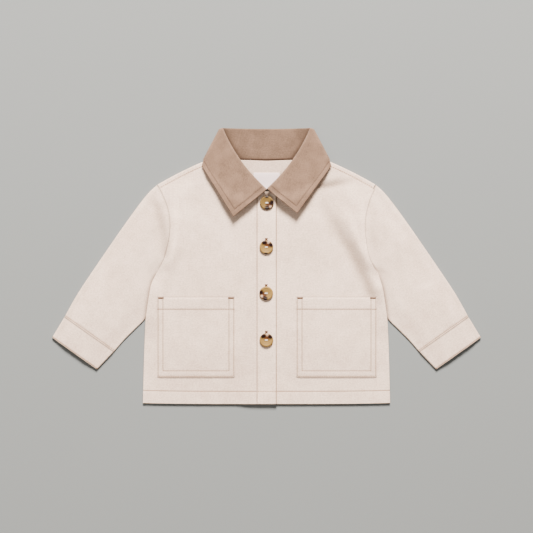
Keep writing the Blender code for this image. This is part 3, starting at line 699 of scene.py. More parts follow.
def thread_piece(name, runs, material, radius=THREAD, arch=STITCH_ARCH):
    """Stitches as small arched spindles, thin at both ends and never below the floor.

    A ring at share s from -1 to 1 lies s half lengths along the stitch, has the radius
    times sqrt(1 - 0.8 s^2), and is raised by the arch times 1 - s^2.
    """
    centre, direction, normal, length = [np.concatenate(p) for p in zip(*runs)]
    across = np.cross(normal, direction)
    across /= np.linalg.norm(across, axis=1)[:, None]
    normal = np.cross(direction, across)[:, None, None]
    across, direction = across[:, None, None], direction[:, None, None]
    s = STITCH_RINGS[None, :, None, None]
    turn = (np.arange(STITCH_SIDES) * 2 * math.pi / STITCH_SIDES)[None, None, :, None]
    points = (centre[:, None, None] + s * (length / 2)[:, None, None, None] * direction
              + radius * np.sqrt(1 - 0.8 * s ** 2) * (np.cos(turn) * across + np.sin(turn) * normal)
              + arch * (1 - s ** 2) * normal)
    points[..., 2] = np.maximum(points[..., 2], 0)
    rings, sides = len(STITCH_RINGS), STITCH_SIDES
    around = cell_corners(point_index(rings, sides, True))
    caps = np.arange(sides)
    caps = np.array((caps[::-1], caps + (rings - 1) * sides))
    first = (np.arange(len(centre)) * rings * sides)[:, None, None]
    faces = (around + first).reshape(-1, 4).tolist() + (caps + first).reshape(-1, sides).tolist()
    mesh = bpy.data.meshes.new(name)
    mesh.from_pydata((points.reshape(-1, 3) * MM).tolist(), [], faces)
    return worn_piece(name, mesh, material)


def on_surface(path, height, rise):
    """A plan path raised onto a height field."""
    path = np.array(path, float)
    return np.column_stack((path, height(path[:, 0], path[:, 1]) + rise))


def straight(start, end, step=1.5):
    """Points along a straight line in plan."""
    start, end = np.array(start, float), np.array(end, float)
    count = max(int(np.linalg.norm(end - start) / step), 2)
    return start + (end - start) * np.linspace(0, 1, count)[:, None]


def hem_path(start, end):
    """Plan path of the hem's stitch line from one X to another."""
    path = straight((start, 0), (end, 0))
    path[:, 1] = hem_edge(path[:, 0]) + HEM_DEPTH
    return path


def short_stitch(start, end, height, rise, length):
    """One strand over a height field, from a point in plan to another."""
    return stitch_run(on_surface(straight(start, end), height, rise), UP, length, length)


def face_line(face, normal, distance, at, axis):
    """Path across a grid of face points, where their distance from an edge is the given one.

    It runs from row to row with axis 0 and from column to column with axis 1, and no
    lower than a thread that lies on the floor.
    """
    if axis == 1:
        face, normal, distance = [np.swapaxes(a, 0, 1) for a in (face, normal, distance)]
    picked = []
    for points, ups, away in zip(face, normal, distance):
        order = np.argsort(away)
        both = np.hstack((points, ups))[order]
        picked.append([np.interp(at, away[order], column) for column in both.T])
    picked = np.array(picked)
    picked[:, 2] = np.maximum(picked[:, 2], THREAD + STITCH_ARCH + 0.01)
    return picked[:, :3], picked[:, 3:] / np.linalg.norm(picked[:, 3:], axis=1)[:, None]


# -------------------------------------------------------------------- body

# Lengths of curves, near enough to space a grid by
SIDE_LENGTH = 176
ARMHOLE_LENGTH = 118
BACK_SHOULDER_LENGTH = 70.8
FRONT_SHOULDER_LENGTH = 67.0
FRONT_NECK_LENGTH = 82
HEM_LEVEL = (30, 90)            # heights over which the rows cease to run level with the hem
UNDER_STITCH = 0.48             # height of the hem's stitching on the underside
SHOULDER_STITCH = 1.3           # back from the forward seam
NECK_SHADE = 0.43               # painted shade inside the back of the neck
NECK_INSIDE = (92, 100)         # Y over which it starts
NECK_HALF_WIDTH = 50
GAP_SHADE = 4.5                 # painted shadow on the back where the fronts leave a gap over it
GAP_CENTRE = (0, 100)
GAP_SIZE = (9, 6)


def shoulder_line(side, inset, shares):
    """Shoulder from tip to neck point, moved down into the body by inset."""
    tip, neck = np.array(SHOULDER_TIP), np.array(NECK_POINT)
    along = (neck - tip) / np.hypot(*(neck - tip))
    inward = np.array((-along[1], along[0]))
    t = shares[:, None]
    crown = SHOULDER_CROWN * np.sin(math.pi * t) * -inward
    return mirrored(tip + (neck - tip) * t + crown + inset * inward, side), mirrored(inward, side)


def body_side(side, hollow, top):
    """Side seam and armhole of a body panel, ending at the given top point."""
    armhole = np.array(ARMHOLE[side], float)
    share = np.linspace(0, 1, len(armhole))[:, None]
    chord = armhole[0] * (1 - share) + armhole[-1] * share
    armhole = chord + (armhole - chord) * hollow
    armhole = np.vstack((armhole[:-1], np.abs(top)))
    lower = np.array([(width, y) for y, width in SIDE])
    lower[-1] = armhole[0]
    lower = spline(lower, steps(SIDE_LENGTH, GRID_STEP, (HEM_DEPTH,), (True, False)))
    upper = spline(armhole, steps(ARMHOLE_LENGTH, GRID_STEP, (), (False, True)))
    return mirrored(np.vstack((lower[:-1], upper)), side)


def shares_of(path):
    """Share of a polyline's length at each of its points."""
    along = path_length(path)
    return along / along[-1]


def level_hem(plan, along):
    """Grid with its lower rows moved level with the hem, easing out above it."""
    x, y = plan[..., 0], plan[..., 1]
    start, end = HEM_LEVEL
    share = ramp(along[:, None], end, start)
    return np.dstack((x, y + share * (hem_edge(x) + along[:, None] - y)))


def make_back():
    """Back panel with a strip that folds over each shoulder to the forward seam."""
    shares = steps(BACK_SHOULDER_LENGTH, GRID_STEP, (), (True, False))
    (right_line, right_inward), (left_line, left_inward) = [
        shoulder_line(side, SHOULDER_INSET, shares) for _, side in SIDES]
    neck = spline(BACK_NECK, np.linspace(0, 1, 55))
    neck[0], neck[-1] = right_line[-1], left_line[-1]
    top = np.vstack((right_line[:-1], neck, left_line[::-1][1:]))
    across = shares_of(top)
    hem_x = HEM_HALF_WIDTH * (2 * across - 1)
    bottom = np.column_stack((hem_x, hem_edge(hem_x)))
    right = body_side(-1, BACK_ARMHOLE_HOLLOW, top[0])
    left = body_side(1, BACK_ARMHOLE_HOLLOW, top[-1])
    plan = level_hem(patch(bottom, top, right, left, across, shares_of(right)), path_length(right))
    columns = np.arange(len(top))
    from_end = np.minimum(columns, columns[::-1])
    wraps = from_end < len(shares) - 1
    inward = np.where(columns[:, None] < len(top) / 2, right_inward, left_inward)
    angles = np.radians(np.linspace(-90, 90, 10)[1:])
    reaches = SHOULDER_WRAP * steps(SHOULDER_WRAP, 1.5, (), (False, True))[1:]

    def surface(h):
        flat_h, fold_h, strip_h = np.split(h, (len(plan), len(plan) + len(angles)))
        x, y = plan[..., 0], plan[..., 1]
        inside = y - hem_edge(x)
        z = back_height(x, y) - groove(inside - HEM_DEPTH, x) * (inside < HEM_LEVEL[0]) - flat_h
        flat = np.dstack((plan, z))
        centre = (back_height(top[:, 0], top[:, 1]) + FOLD)[None]
        out = (FOLD + fold_h) * np.cos(angles)[:, None]
        turn = np.dstack((top - out[..., None] * inward,
                          centre + (FOLD + fold_h) * np.sin(angles)[:, None]))
        strip = top + reaches[:, None, None] * inward
        strip = np.dstack((strip, centre + FOLD + strip_h))
        rows = np.concatenate((turn, strip))
        rows = np.where(wraps[None, :, None], rows, flat[-1])
        return np.concatenate((flat, rows))

    middle = surface(np.zeros((len(plan) + len(angles) + len(reaches), len(top))))
    half = rounded(edge_distance(middle), CANVAS)
    x, y = middle[..., 0], middle[..., 1]
    # Painted shade along the hem's stitch line, painted shadow in the gap between the fronts and
    # painted shade inside the neck
    gap = np.hypot((x - GAP_CENTRE[0]) / GAP_SIZE[0], (y - GAP_CENTRE[1]) / GAP_SIZE[1]) < 1
    shade = mark(y - hem_edge(x) - HEM_DEPTH) + GAP_SHADE * gap
    shade += NECK_SHADE * ramp(y, *NECK_INSIDE) * (np.abs(x) < NECK_HALF_WIDTH)
    piece = cloth("back_panel", surface, half, np.dstack(grid_lengths(middle)), CLOTH, shade)

    hem = hem_path(1 - HEM_HALF_WIDTH, HEM_HALF_WIDTH - 1)
    runs = [stitch_run(np.column_stack((hem, np.full(len(hem), UNDER_STITCH))), (0, 0, -1))]
    for _, side in SIDES:
        line, _ = shoulder_line(side, FORWARD_SEAM - SHOULDER_STITCH, np.linspace(0.02, 1, 60))
        face = 2 * FOLD + CANVAS / 2 - SHOULDER_SUNK
        runs.append(stitch_run(on_surface(line, back_height, face)))
    stitching = thread_piece("back_stitching", runs, SEAM_THREAD)
    declare(piece, plan_size(plan), 1, ("back",))
    return piece


def make_front(name, side, height):
    """Front panel from the shoulder seam to the button edge."""
    shares = steps(FRONT_SHOULDER_LENGTH, GRID_STEP, (), (True, False))
    seam, _ = shoulder_line(side, FORWARD_SEAM + 0.1, shares)
    seam[-1] += mirrored(FRONT_NECK_START, side)
    shares = steps(FRONT_NECK_LENGTH, GRID_STEP, (), (False, True))
    neck = spline((np.abs(seam[-1]), *FRONT_NECK[side]), shares)
    top = np.vstack((seam[:-1], mirrored(neck, side)))
    centre_edge = FRONT_NECK[side][-1][0]
    across = shares_of(top)
    hem_x = HEM_HALF_WIDTH + (centre_edge - HEM_HALF_WIDTH) * across
    bottom = np.column_stack((hem_x * side, hem_edge(hem_x)))
    outer = body_side(side, 1.0, top[0])
    up = shares_of(outer)
    inner = bottom[-1] + (top[-1] - bottom[-1]) * up[:, None]
    plan = level_hem(patch(bottom, top, outer, inner, across, up), path_length(outer))
    half = rounded(edge_distance(plan), CANVAS)
    x, y = plan[..., 0], plan[..., 1]
    inside = y - hem_edge(x)
    middle = height(x, y) + hem_form(inside, x, HEM_DEPTH, HEM_FOLD)
    # Painted shade along the hem's stitch line and in the creases, painted light on their crests
    shade = HEM_MARK * mark(inside - HEM_DEPTH) + creases(x, y)[1]
    piece = cloth("front_panel_" + name, lambda h: np.dstack((plan, middle + h)), half, plan,
                  CLOTH, shade)

    hem = hem_path(side * (HEM_HALF_WIDTH - 1), side * (centre_edge + 2))
    run = stitch_run(on_surface(hem, height, CANVAS / 2 - HEM_SUNK))
    stitching = thread_piece("front_stitching_" + name, [run], SEAM_THREAD)
    declare(piece, plan_size(plan), 1, ("front_" + name,))
    return piece


# ----------------------------------------------------------------- sleeves

def flat_tube(outer, inner, wall, swell, step, top_shift=None, bottom_shift=None):
    """Surface of a flattened tube between two edge curves, one ring for each row.

    Each ring runs along the bottom layer, round the outer fold, along the top layer,
    which swell raises, and round the inner fold.  swell is given the share across from
    the nearer edge and the layer's plan; a shift is given the plan and moves it.
    """
    fold = (wall + GAP) / 2
    inset = fold + wall / 2
    across = inner - outer
    width = np.hypot(across[:, 0], across[:, 1])
    across = across / width[:, None]
    start, stop = outer + inset * across, inner - inset * across
    share = np.linspace(0, 1, int(width.max() / step) + 1)
    angles = np.radians(np.linspace(-90, 90, 9)[1:-1])

    def layer(shift):
        plan = start[:, None] * (1 - share[None, :, None]) + stop[:, None] * share[None, :, None]
        return plan if shift is None else plan + shift(plan)

    under, over = layer(bottom_shift), layer(top_shift)
    rise = swell(np.minimum(share, 1 - share), over)
    cosines, sines = np.cos(angles), np.sin(angles)
    count, bends = len(share), len(angles)

    def surface(h):
        bottom_h, outer_h, top_h, inner_h = np.split(
            fold + h, (count, count + bends, 2 * count + bends), axis=1)
        bottom = np.dstack((under[:, ::-1], inset - bottom_h))
        out = (outer_h * cosines)[..., None] * across[:, None]
        outer_fold = np.dstack((start[:, None] - out, inset + outer_h * sines))
        top = np.dstack((over, inset + top_h + rise))
        out = (inner_h * cosines)[..., None] * across[:, None]
        inner_fold = np.dstack((stop[:, None] + out, inset - inner_h * sines))
        return np.concatenate((bottom, outer_fold, top, inner_fold), axis=1)

    return surface, (len(outer), 2 * (count + bends)), over


def ring_cut(middle):
    """Flat coordinates on a ring grid, with the closing column added."""
    closed = np.concatenate((middle, middle[:, :1]), axis=1)
    across, up = grid_lengths(closed)
    return np.dstack((across - across[:, -1:] / 2, up)), up[:, :-1]


def make_tube(part, form, name, side, wall, tube, stitch, shading):
    """Cloth and stitching of a flattened tube on the given side.

    stitch gives the stitch line's distance from the row at one end of the tube, and
    shading the painted shade, both from the distances up from the first row and down
    from the last; shading is given the middle's points as well.
    """
    surface, shape, over = tube

    def placed(h):
        return surface(h) * (side, 1, 1)

    middle = placed(np.zeros(shape))
    cut, up = ring_cut(middle)
    down = up[-1:] - up
    half = rounded(np.minimum(up, down), wall)
    shade = shading(middle, up, down)
    piece = cloth(f"{part}_{form}_{name}", placed, half, cut, CLOTH, shade, True)
    face = placed(half - SUNK)
    path, ups = face_line(face, placed(half + 1) - face, stitch(up, down), 0, 1)
    run = stitch_run(np.vstack((path, path[:1])), np.vstack((ups, ups[:1])))
    stitching = thread_piece(f"{part}_stitching_{name}", [run], SEAM_THREAD)
    declare(piece, plan_size(over), 2, (f"{part}_{name}",))
    return piece


SLEEVE_LENGTH = 262
SLEEVE_HEAD = 0.45              # share of the sleeve's length that follows the armhole
SEAM_GAP = 0.4                  # from the body's edge to the sleeve's
SLEEVE_EDGE = (0.03, 0.27)      # share across over which the top layer swells
SWELL_AT_CUFF = 0.75            # share of the swell that it has at the cuff
JOIN_POWER = 4                  # how late the top layer takes on the body's level
WIDE_SHADE = (0.5, 5, 20)       # soft painted shade beside the seam: strength, reach, half length
BODY_SHADE = (1.4, 3.4)         # painted shadow of the body's edge on the sleeve: strength, reach
UNDERSIDE = 1.5                 # height below which a tube's face is its underside


def make_sleeve(name, side):
    """One-piece sleeve from the cuff seam to the armhole."""
    rows = steps(SLEEVE_LENGTH, GRID_STEP, (SLEEVE_STITCH,))
    armhole = np.array(ARMHOLE[side], float) - (SEAM_GAP, 0)
    tip = np.array(SLEEVE_OUTER[-1])
    outer = spline(SLEEVE_OUTER, rows)
    inner = spline(SLEEVE_INNER + SLEEVE_UNDERARM[side], rows)
    seam = spline(np.vstack((armhole, tip)), np.linspace(0, 1, 160))
    near = ramp(rows, 1 - SLEEVE_HEAD, 1)[:, None, None]

    def shift_by(hollow):
        def shift(plan):
            y = plan[..., 1]
            chord_x = np.interp(y, (seam[0, 1], tip[1]), (seam[0, 0], tip[0]))
            bulge = np.interp(y, seam[:, 1], seam[:, 0]) - chord_x
            return near * hollow * np.dstack((bulge, 0 * bulge))
        return shift

    def swell(from_edge, plan):
        edges = ramp(from_edge, *SLEEVE_EDGE)
        fuller = (1 - SWELL_AT_CUFF) * ramp(rows, 0, 0.3)[:, None]
        own = SLEEVE_SWELL * edges * (SWELL_AT_CUFF + fuller)
        x, y = plan[..., 0] * side, plan[..., 1]
        body = front_height(x, y) - back_height(x, y) - LAYER
        joined = ramp(from_edge, 0, 0.15) * body
        blend = near[..., 0] ** JOIN_POWER
        creased = own + (creases(x, y)[0] + ripple(x, y)) * edges * (1 - blend)
        cuff = groove(np.linalg.norm(plan - plan[:1], axis=2) - SLEEVE_STITCH, plan[..., 1])
        return np.maximum(creased * (1 - blend) + joined * blend, 0) + cuff * edges

    def shading(middle, up, down):
        # Painted shade beside the armhole seam, painted shadow of the body's edge, painted shade
        # along the stitch lines and in the creases
        x, y = middle[..., 0], middle[..., 1]
        reach, widest = ARMHOLE_SHADE[side]
        strength, wide_reach, half_length = WIDE_SHADE
        seam = ARMHOLE_MARK * bell(down, reach)
        seam += strength * bell(down, wide_reach) * bell(y - widest, half_length)
        strength, reach = BODY_SHADE
        beside_body = strength * bell(side_distance(x, y), reach) * ramp(y, -3, -13)
        lines = SLEEVE_MARK * mark(up - SLEEVE_STITCH, up - CUFF_SEAM)
        shade = np.max((lines, seam, beside_body), axis=0) + creases(x, y)[1]
        return shade * (middle[..., 2] > UNDERSIDE)

    tube = flat_tube(outer, inner, CANVAS, swell, GRID_STEP, shift_by(1.0),
                     shift_by(BACK_ARMHOLE_HOLLOW))
    return make_tube("sleeve", "tube", name, side, CANVAS, tube,
                     lambda up, down: up - SLEEVE_STITCH, shading)


CUFF_LENGTH = 30.5
CUFF_STEP = 2.5
CUFF_SHADE = 0.08               # over the whole cuff


def make_cuff(name, side):
    """Double band at the sleeve's end."""
    t = steps(CUFF_LENGTH, CUFF_STEP, (CUFF_LENGTH - CUFF_STITCH,))[:, None]
    outer, inner = [np.array(seam) * (1 - t) + np.array(end) * t
                    for seam, end in zip((SLEEVE_OUTER[0], SLEEVE_INNER[0]), CUFF_END)]

    def swell(from_edge, plan):
        from_end = np.linalg.norm(plan - plan[-1:], axis=2)
        stitched = groove(from_end - CUFF_STITCH, plan[..., 0]) * ramp(from_edge, 0, 0.05)
        return CUFF_SWELL * ramp(from_edge, 0, 0.3) + stitched

    def shading(middle, up, down):
        # Painted shade along the stitch lines, and an even darkening over the whole cuff
        return CUFF_SHADE + CUFF_MARK * mark(down - CUFF_STITCH, up - CUFF_SEAM)

    tube = flat_tube(outer, inner, BAND, swell, CUFF_STEP)
    return make_tube("cuff", "band", name, side, BAND, tube,
                     lambda up, down: down - CUFF_STITCH, shading)


# ------------------------------------------------------------------ collar

# Per side: the roll's end at the centre front and the leaf's point, as X from the
# centre line outwards, Y
COLLAR_FRONT = {-1: ((-0.75, 102.2), (44.0, 65.3)), 1: ((0.15, 103.0), (40.7, 70.0))}
ROLL_MIDDLE = (34.5, 141.3)     # the roll midway down the front
COLLAR_TOP = 184.0
HAIRPIN = 0.95                  # half distance between stand and leaf
BACK_COLLAR_Z = 1.75            # middle of the folded collar under the neck
FRONT_COLLAR_Z = 6.45           # and on top of the fronts
TURN = (FRONT_COLLAR_Z - BACK_COLLAR_Z) / 2
TURN_Z = (FRONT_COLLAR_Z + BACK_COLLAR_Z) / 2
LEAF_LIFT = 3.0                 # the leaf's free edge stands off the fronts
ROLL_RISE = 4.3                 # and the roll rises towards the centre front
COLLAR_AXIS = (59.7, 180.8)     # the side fold's axis at its top
COLLAR_SIDE = (0.467, -0.884)   # and its direction down to the shoulder
SIDE_OUT = (0.884, 0.467)
ROLL_TOP_X = 57.9
STAND_END = 42.9                # from the axis top down to the neck seam, at the side
LEAF_AT_FOLD = 46.4             # shorter where the leaf passes over the shoulder
LEAF_AT_FRONT = 55.2
LEAF_AT_BACK = 52.5
# Stand's height down the front: share of the way to the centre, height
STAND_SHARE = ((0.0, 47.5), (0.25, 42.0), (0.5, 37.0), (0.75, 27.0), (0.9, 14.0), (1.0, 4.0))
FRONT_LENGTH = 90.0             # lengths of the leaf's edges, near enough to space a grid by
LEAF_LENGTH = 54.0
TOP_DIP = 1.3                   # of the roll at the centre back
BACK_LEAF_EDGE = (130.9, 0.4)   # Y of the leaf's edge at the side, and its dip at the back
NECK_SEAM = (140.1, 0.9)        # Y of the stand's edge, and how far it bows up
TURN_DIP = 1.5                  # of the roll as it turns over the shoulder
COLLAR_STITCH = 6.7             # topstitch in from the free edge
LEAF_MARK = 0.7                 # share of a stitch line's painted shade, on the leaf
FRONT_REACH = 60                # distance from the leaf's edge within which its front edge counts
FRONT_ROWS = 40                 # rows of the grid that hold the front edge's stitch line
STAND_STITCH = 2.3
STAND_GROOVE_END = 30           # where its groove ends, back from the front edge
STAND_STITCH_END = 38           # and where its last stitch is
LEAF_SHADOW = ((62.0, 182.0), ROLL_MIDDLE)   # the leaf's inner edge, seen over the stand, beside which shade is painted
SHADOW_REACH = (3.4, 158, 182)  # reach of the painted shade beside it, and the Y between which it doubles
TUCKED = (0.42, 1.7)            # painted shade over the whole stand, and more of it beside the leaf
ROLL_LIGHT = (-0.3, 1.3)        # painted highlight along the roll, as a negative shade, and its reach
FAR = 99.0                      # distance given to points that a line doesn't cross


def roll_rise(share):
    """How far the roll has risen at a share of its way down the front."""
    return ROLL_RISE * ramp(share, 0.3, 0.9)


def lying_station(roll, z, free, facing, stand, front):
    """Station whose leaf runs level from the roll to the free edge."""
    leaf = np.hypot(*(free - roll))
    run = (free - roll) / leaf
    return np.array((*roll, z)), run, np.array((0, 0, facing)), leaf, stand, front


def collar_stations(side):
    """Half of the collar from the centre back.

    Each station has its point on the roll, the direction in plan that stand and leaf run
    in, the normal, the lengths of leaf and stand, and the share of its way down the front.
    """
    axis, down, out = (np.array(p, float) for p in (COLLAR_AXIS, COLLAR_SIDE, SIDE_OUT))
    leaf_y, leaf_dip = BACK_LEAF_EDGE
    neck_y, neck_bow = NECK_SEAM
    stations = []
    for t in np.linspace(0, 1, 25)[:-1]:
        free_x, neck_x = (t * (axis + end * down)[0] for end in (LEAF_AT_BACK, STAND_END))
        roll = np.array((ROLL_TOP_X * t, COLLAR_TOP - TOP_DIP * (1 - t * t)))
        free = np.array((free_x, leaf_y - leaf_dip * (1 - t)))
        neck = np.array((neck_x, neck_y + neck_bow * math.sin(math.pi * t)))
        stand = np.hypot(*(neck - roll))
        stations.append(lying_station(roll, BACK_COLLAR_Z, free, -1.0, stand, 0.0))
    for theta in np.linspace(-90, 90, 25):
        c, s = math.cos(math.radians(theta)), math.sin(math.radians(theta))
        foot = axis + TURN * c * out
        lift = (COLLAR_TOP - TURN_DIP * c - foot[1]) / -down[1]
        roll = foot - lift * down
        end, level = (LEAF_AT_FRONT, 30) if theta > 0 else (LEAF_AT_BACK, 62)
        leaf = LEAF_AT_FOLD + (end - LEAF_AT_FOLD) * ramp(abs(theta), level, 80)
        stations.append((np.array((*roll, TURN_Z + TURN * s)), down, np.array((*(out * c), s)),
                         leaf + lift, STAND_END + lift, 0.0))
    meet, point = np.array(COLLAR_FRONT[side])
    first = stations[-1][0][:2]
    bend = 2 * np.array(ROLL_MIDDLE) - (first + meet) / 2
    corner = axis + LEAF_AT_FRONT * down
    for t in steps(FRONT_LENGTH, 2.6, (FRONT_LENGTH - COLLAR_STITCH * 1.15,), (False, True))[1:]:
        roll, free = bow(first, bend, meet, t), corner * (1 - t) + point * t
        stand = np.interp(t, *np.array(STAND_SHARE).T)
        z = FRONT_COLLAR_Z + roll_rise(t)
        stations.append(lying_station(roll, z, free, 1.0, stand, t))
    return stations


STAND_COLUMNS = 24
FOLD_COLUMNS = 9
LEAF_STEPS = steps(LEAF_LENGTH, 2.4, (LEAF_LENGTH - COLLAR_STITCH,), (False, True))


def collar_section(station, h):
    """Hairpin through one station: stand, roll and leaf, h off the cloth's middle."""
    roll, run, normal, leaf, stand, front = station
    radius = HAIRPIN + h
    inset = HAIRPIN + 0.8
    stand_along = np.linspace(stand, inset, STAND_COLUMNS)
    angles = np.radians(np.linspace(-90, 90, FOLD_COLUMNS + 2)[1:-1])
    leaf_along = inset + (leaf - inset) * LEAF_STEPS
    stand_h, fold_h, leaf_h = np.split(radius, (STAND_COLUMNS, STAND_COLUMNS + FOLD_COLUMNS))
    past_stand = leaf_along - stand - 2
    lift = ramp(past_stand, 0, (leaf - stand) * (1 - 0.5 * front)) * ramp(front, 0, 0.15)
    drop = roll_rise(front) * ramp(stand_along, inset, stand)
    along = np.concatenate((stand_along, inset - fold_h * np.cos(angles), leaf_along))
    off = np.concatenate((-stand_h - drop, fold_h * np.sin(angles), leaf_h + LEAF_LIFT * lift))
    return roll + along[:, None] * np.append(run, 0.0) + off[:, None] * normal


def make_collar():
    """Collar in one strip: the stand inside, the roll, and the leaf turned down over it."""
    whole = [(station, -1) for station in collar_stations(-1)[::-1]]
    whole += [(station, 1) for station in collar_stations(1)[1:]]
    shape = (len(whole), STAND_COLUMNS + FOLD_COLUMNS + len(LEAF_STEPS))

    def surface(h):
        return np.array([collar_section(station, row) * (side, 1, 1)
                         for (station, side), row in zip(whole, h)])

    middle = surface(np.zeros(shape))
    across, up = grid_lengths(middle)
    from_leaf = across[:, -1:] - across
    from_front = np.minimum(up, up[-1:] - up)
    inside = np.minimum(from_leaf, np.where(from_leaf < FRONT_REACH, from_front, FAR))
    leaf = np.arange(shape[1]) >= STAND_COLUMNS + FOLD_COLUMNS
    relief = groove(inside - COLLAR_STITCH, up) * leaf
    held = ~leaf * (from_front > STAND_GROOVE_END)
    relief = relief + groove(across - STAND_STITCH, up) * held
    half = rounded(edge_distance(middle), COLLAR_CLOTH)

    def dressed(h):
        return surface(h + relief * (h > 0))

    # Painted shade on the stand, darkest beside the leaf's inner edge, painted shade along the
    # stitch lines and a painted highlight along the roll
    x, y = np.abs(middle[..., 0]), middle[..., 1]
    top, foot = np.array(LEAF_SHADOW)
    slope = (top - foot) / np.hypot(*(top - foot))
    off_leaf = (y - foot[1]) * slope[0] - (x - foot[0]) * slope[1]
    reach, low, high = SHADOW_REACH
    reach = reach + reach * ramp(y, low, high)
    whole_stand, beside_leaf = TUCKED
    tucked = whole_stand + beside_leaf * np.exp(-np.maximum(off_leaf, 0) / reach)
    turned = (np.arange(shape[1]) - STAND_COLUMNS + 1) / FOLD_COLUMNS
    tucked = tucked * ramp(turned, 0.65, 0.3)
    leaf_shade = LEAF_MARK * mark(inside - COLLAR_STITCH)
    shade = np.where(leaf, leaf_shade, mark(across - STAND_STITCH) + tucked)
    light, width = ROLL_LIGHT
    shade = shade + light * bell(across - across[:, [STAND_COLUMNS + FOLD_COLUMNS - 1]], width)
    piece = cloth("collar_strip", dressed, half, np.dstack((up, across)), COLLAR_TWILL, shade)

    face = dressed(half)
    normal = surface(half + 1) - surface(half)
    runs = []

    def sew(rows, columns, distance, at, axis, keep):
        path, ups = face_line(face[rows, columns], normal[rows, columns], distance, at, axis)
        runs.append(stitch_run(path[keep] - COLLAR_SUNK * ups[keep], ups[keep]))

    everywhere, leaf_columns = slice(None), slice(STAND_COLUMNS + FOLD_COLUMNS, None)
    sew(everywhere, everywhere, np.where(leaf, from_leaf, FAR), COLLAR_STITCH, 0,
        from_front[:, -1] > COLLAR_STITCH)
    for rows in (slice(0, FRONT_ROWS), slice(-FRONT_ROWS, None)):
        sew(rows, leaf_columns, from_front[rows, leaf_columns], COLLAR_STITCH, 1,
            from_leaf[0, leaf_columns] > COLLAR_STITCH)
    sew(everywhere, everywhere, np.where(leaf, FAR, across), STAND_STITCH, 0,
        from_front[:, 0] > STAND_STITCH_END)
    stitching = thread_piece("collar_stitching", runs, COLLAR_THREAD)
    size = across[:, -1].max(), up[-1].max(), grid_area(middle)
    declare(piece, size, 1, ("collar",))
    return piece


# ------------------------------------------------- placket, pockets, label

# Left edge, right edge (X), top and bottom (Y)
POCKETS = {
    "right": (-146.0, -41.9, -40.8, -148.8),
    "left": (39.2, 147.2, -40.8, -148.8),
}
POCKET_CORNER = 4.0
POCKET_HEM = 16.8
POCKET_HEM_MARK = 0.85
POCKET_SWELL = 0.5
BAG = (9, 39, 49)               # its swell starts this far in, and is full so far in and up
TURNED_IN = (0.22, 1.6)         # height of the cloth turned in, and reach of its step
POCKET_RIM = (-0.4, 1.2)        # depth and width of the edge that the outer row pulls down
ROW_TURNS = (3.0, 2.5)          # radii of the two rows' lower corners
MOUTH = (2.1, 2.4, -0.55)       # depth of its edge fold, painted shade of its edge, painted highlight of the fold
OUTER_STITCH = 1.7
INNER_STITCH = (8.1, 8.9)       # in from the sides and up from the foot
ROW_END = 3.2                   # from the mouth down to the rows' ends
TACK = (7.2, 2.4, 2.0)          # bar tack's length, width and distance below the top
TACK_INSET = 1.9                # and its distance in from the pocket's side
TACK_STRANDS = 17
LABEL = (-17.3, 17.4, 124.2, 102.5)
LABEL_LEVEL = 0.5 + GAP + 0.3   # from the back's middle up to the label's
LABEL_FOLD = (3.4, 2.2, -0.15)  # where the painted highlight on its folded top edge starts and is full, and its shade
LABEL_SIDE = (0.25, 8)          # rise from its sides, and over what distance
LABEL_RIB = (0.15, 2.4)         # rib beside each side, as a share of a groove, and its place
PLACKET_RIDGE = (2.0, 0.3, 1.2)   # in from the free edge: place, height and half width
PLACKET_LIGHT = -0.12           # painted light over the whole band, as a negative shade
# painted shadow line along the free edge
FREE_EDGE_MARK = 1.6
# painted shadow of the collar on the band's top
PLACKET_TOP_SHADE = 0.9
MEETING = (0.4, 2.6)            # X and half width of the collar's painted shadow between its points
MEETING_SHADE = (1.9, 0.9)      # its strength, and how much stronger it gets further down
EDGE_SHADE = (1.6, 0.8)         # strength and reach of the painted shadow at the free edge near the collar


def flat_piece(name, box, height, thickness, material, marks, step, lines=((), ()), corner=0.0):
    """Shell over a height field on a rectangle, with its two lower corners rounded.

    marks gives its painted shade, and lines the places across and up where its grid is closer.
    """
    x0, x1, top, bottom = box
    across = x0 + (x1 - x0) * steps(x1 - x0, step, lines[0])
    edge = np.minimum(across - x0, x1 - across)
    cut = corner - np.sqrt(np.maximum(corner ** 2 - np.maximum(corner - edge, 0) ** 2, 0))
    up = steps(top - bottom, step, lines[1])[:, None]
    rows_y = (bottom + cut) * (1 - up) + top * up
    plan = np.dstack((np.broadcast_to(across, rows_y.shape), rows_y))
    half = rounded(edge_distance(plan), thickness)
    middle = height(plan[..., 0], plan[..., 1])
    shade = marks(plan[..., 0], plan[..., 1])
    piece = cloth(name, lambda h: np.dstack((plan, middle + h)), half, plan, material, shade)
    return piece, plan


def placket_height(x, y):
    """Middle of the button band, with its hem fold and the ridge of its free edge."""
    left, right = PLACKET_EDGE
    base = under_height(x, y) + PLACKET_STEP
    sewn = groove(x - left - PLACKET_STITCH[0], y)
    place, height, width = PLACKET_RIDGE
    ridge = height * bell(right - place - x, width)
    return base + sewn + ridge + hem_form(y - PLACKET_FOOT, x, HEM_DEPTH, PLACKET_FOLD)


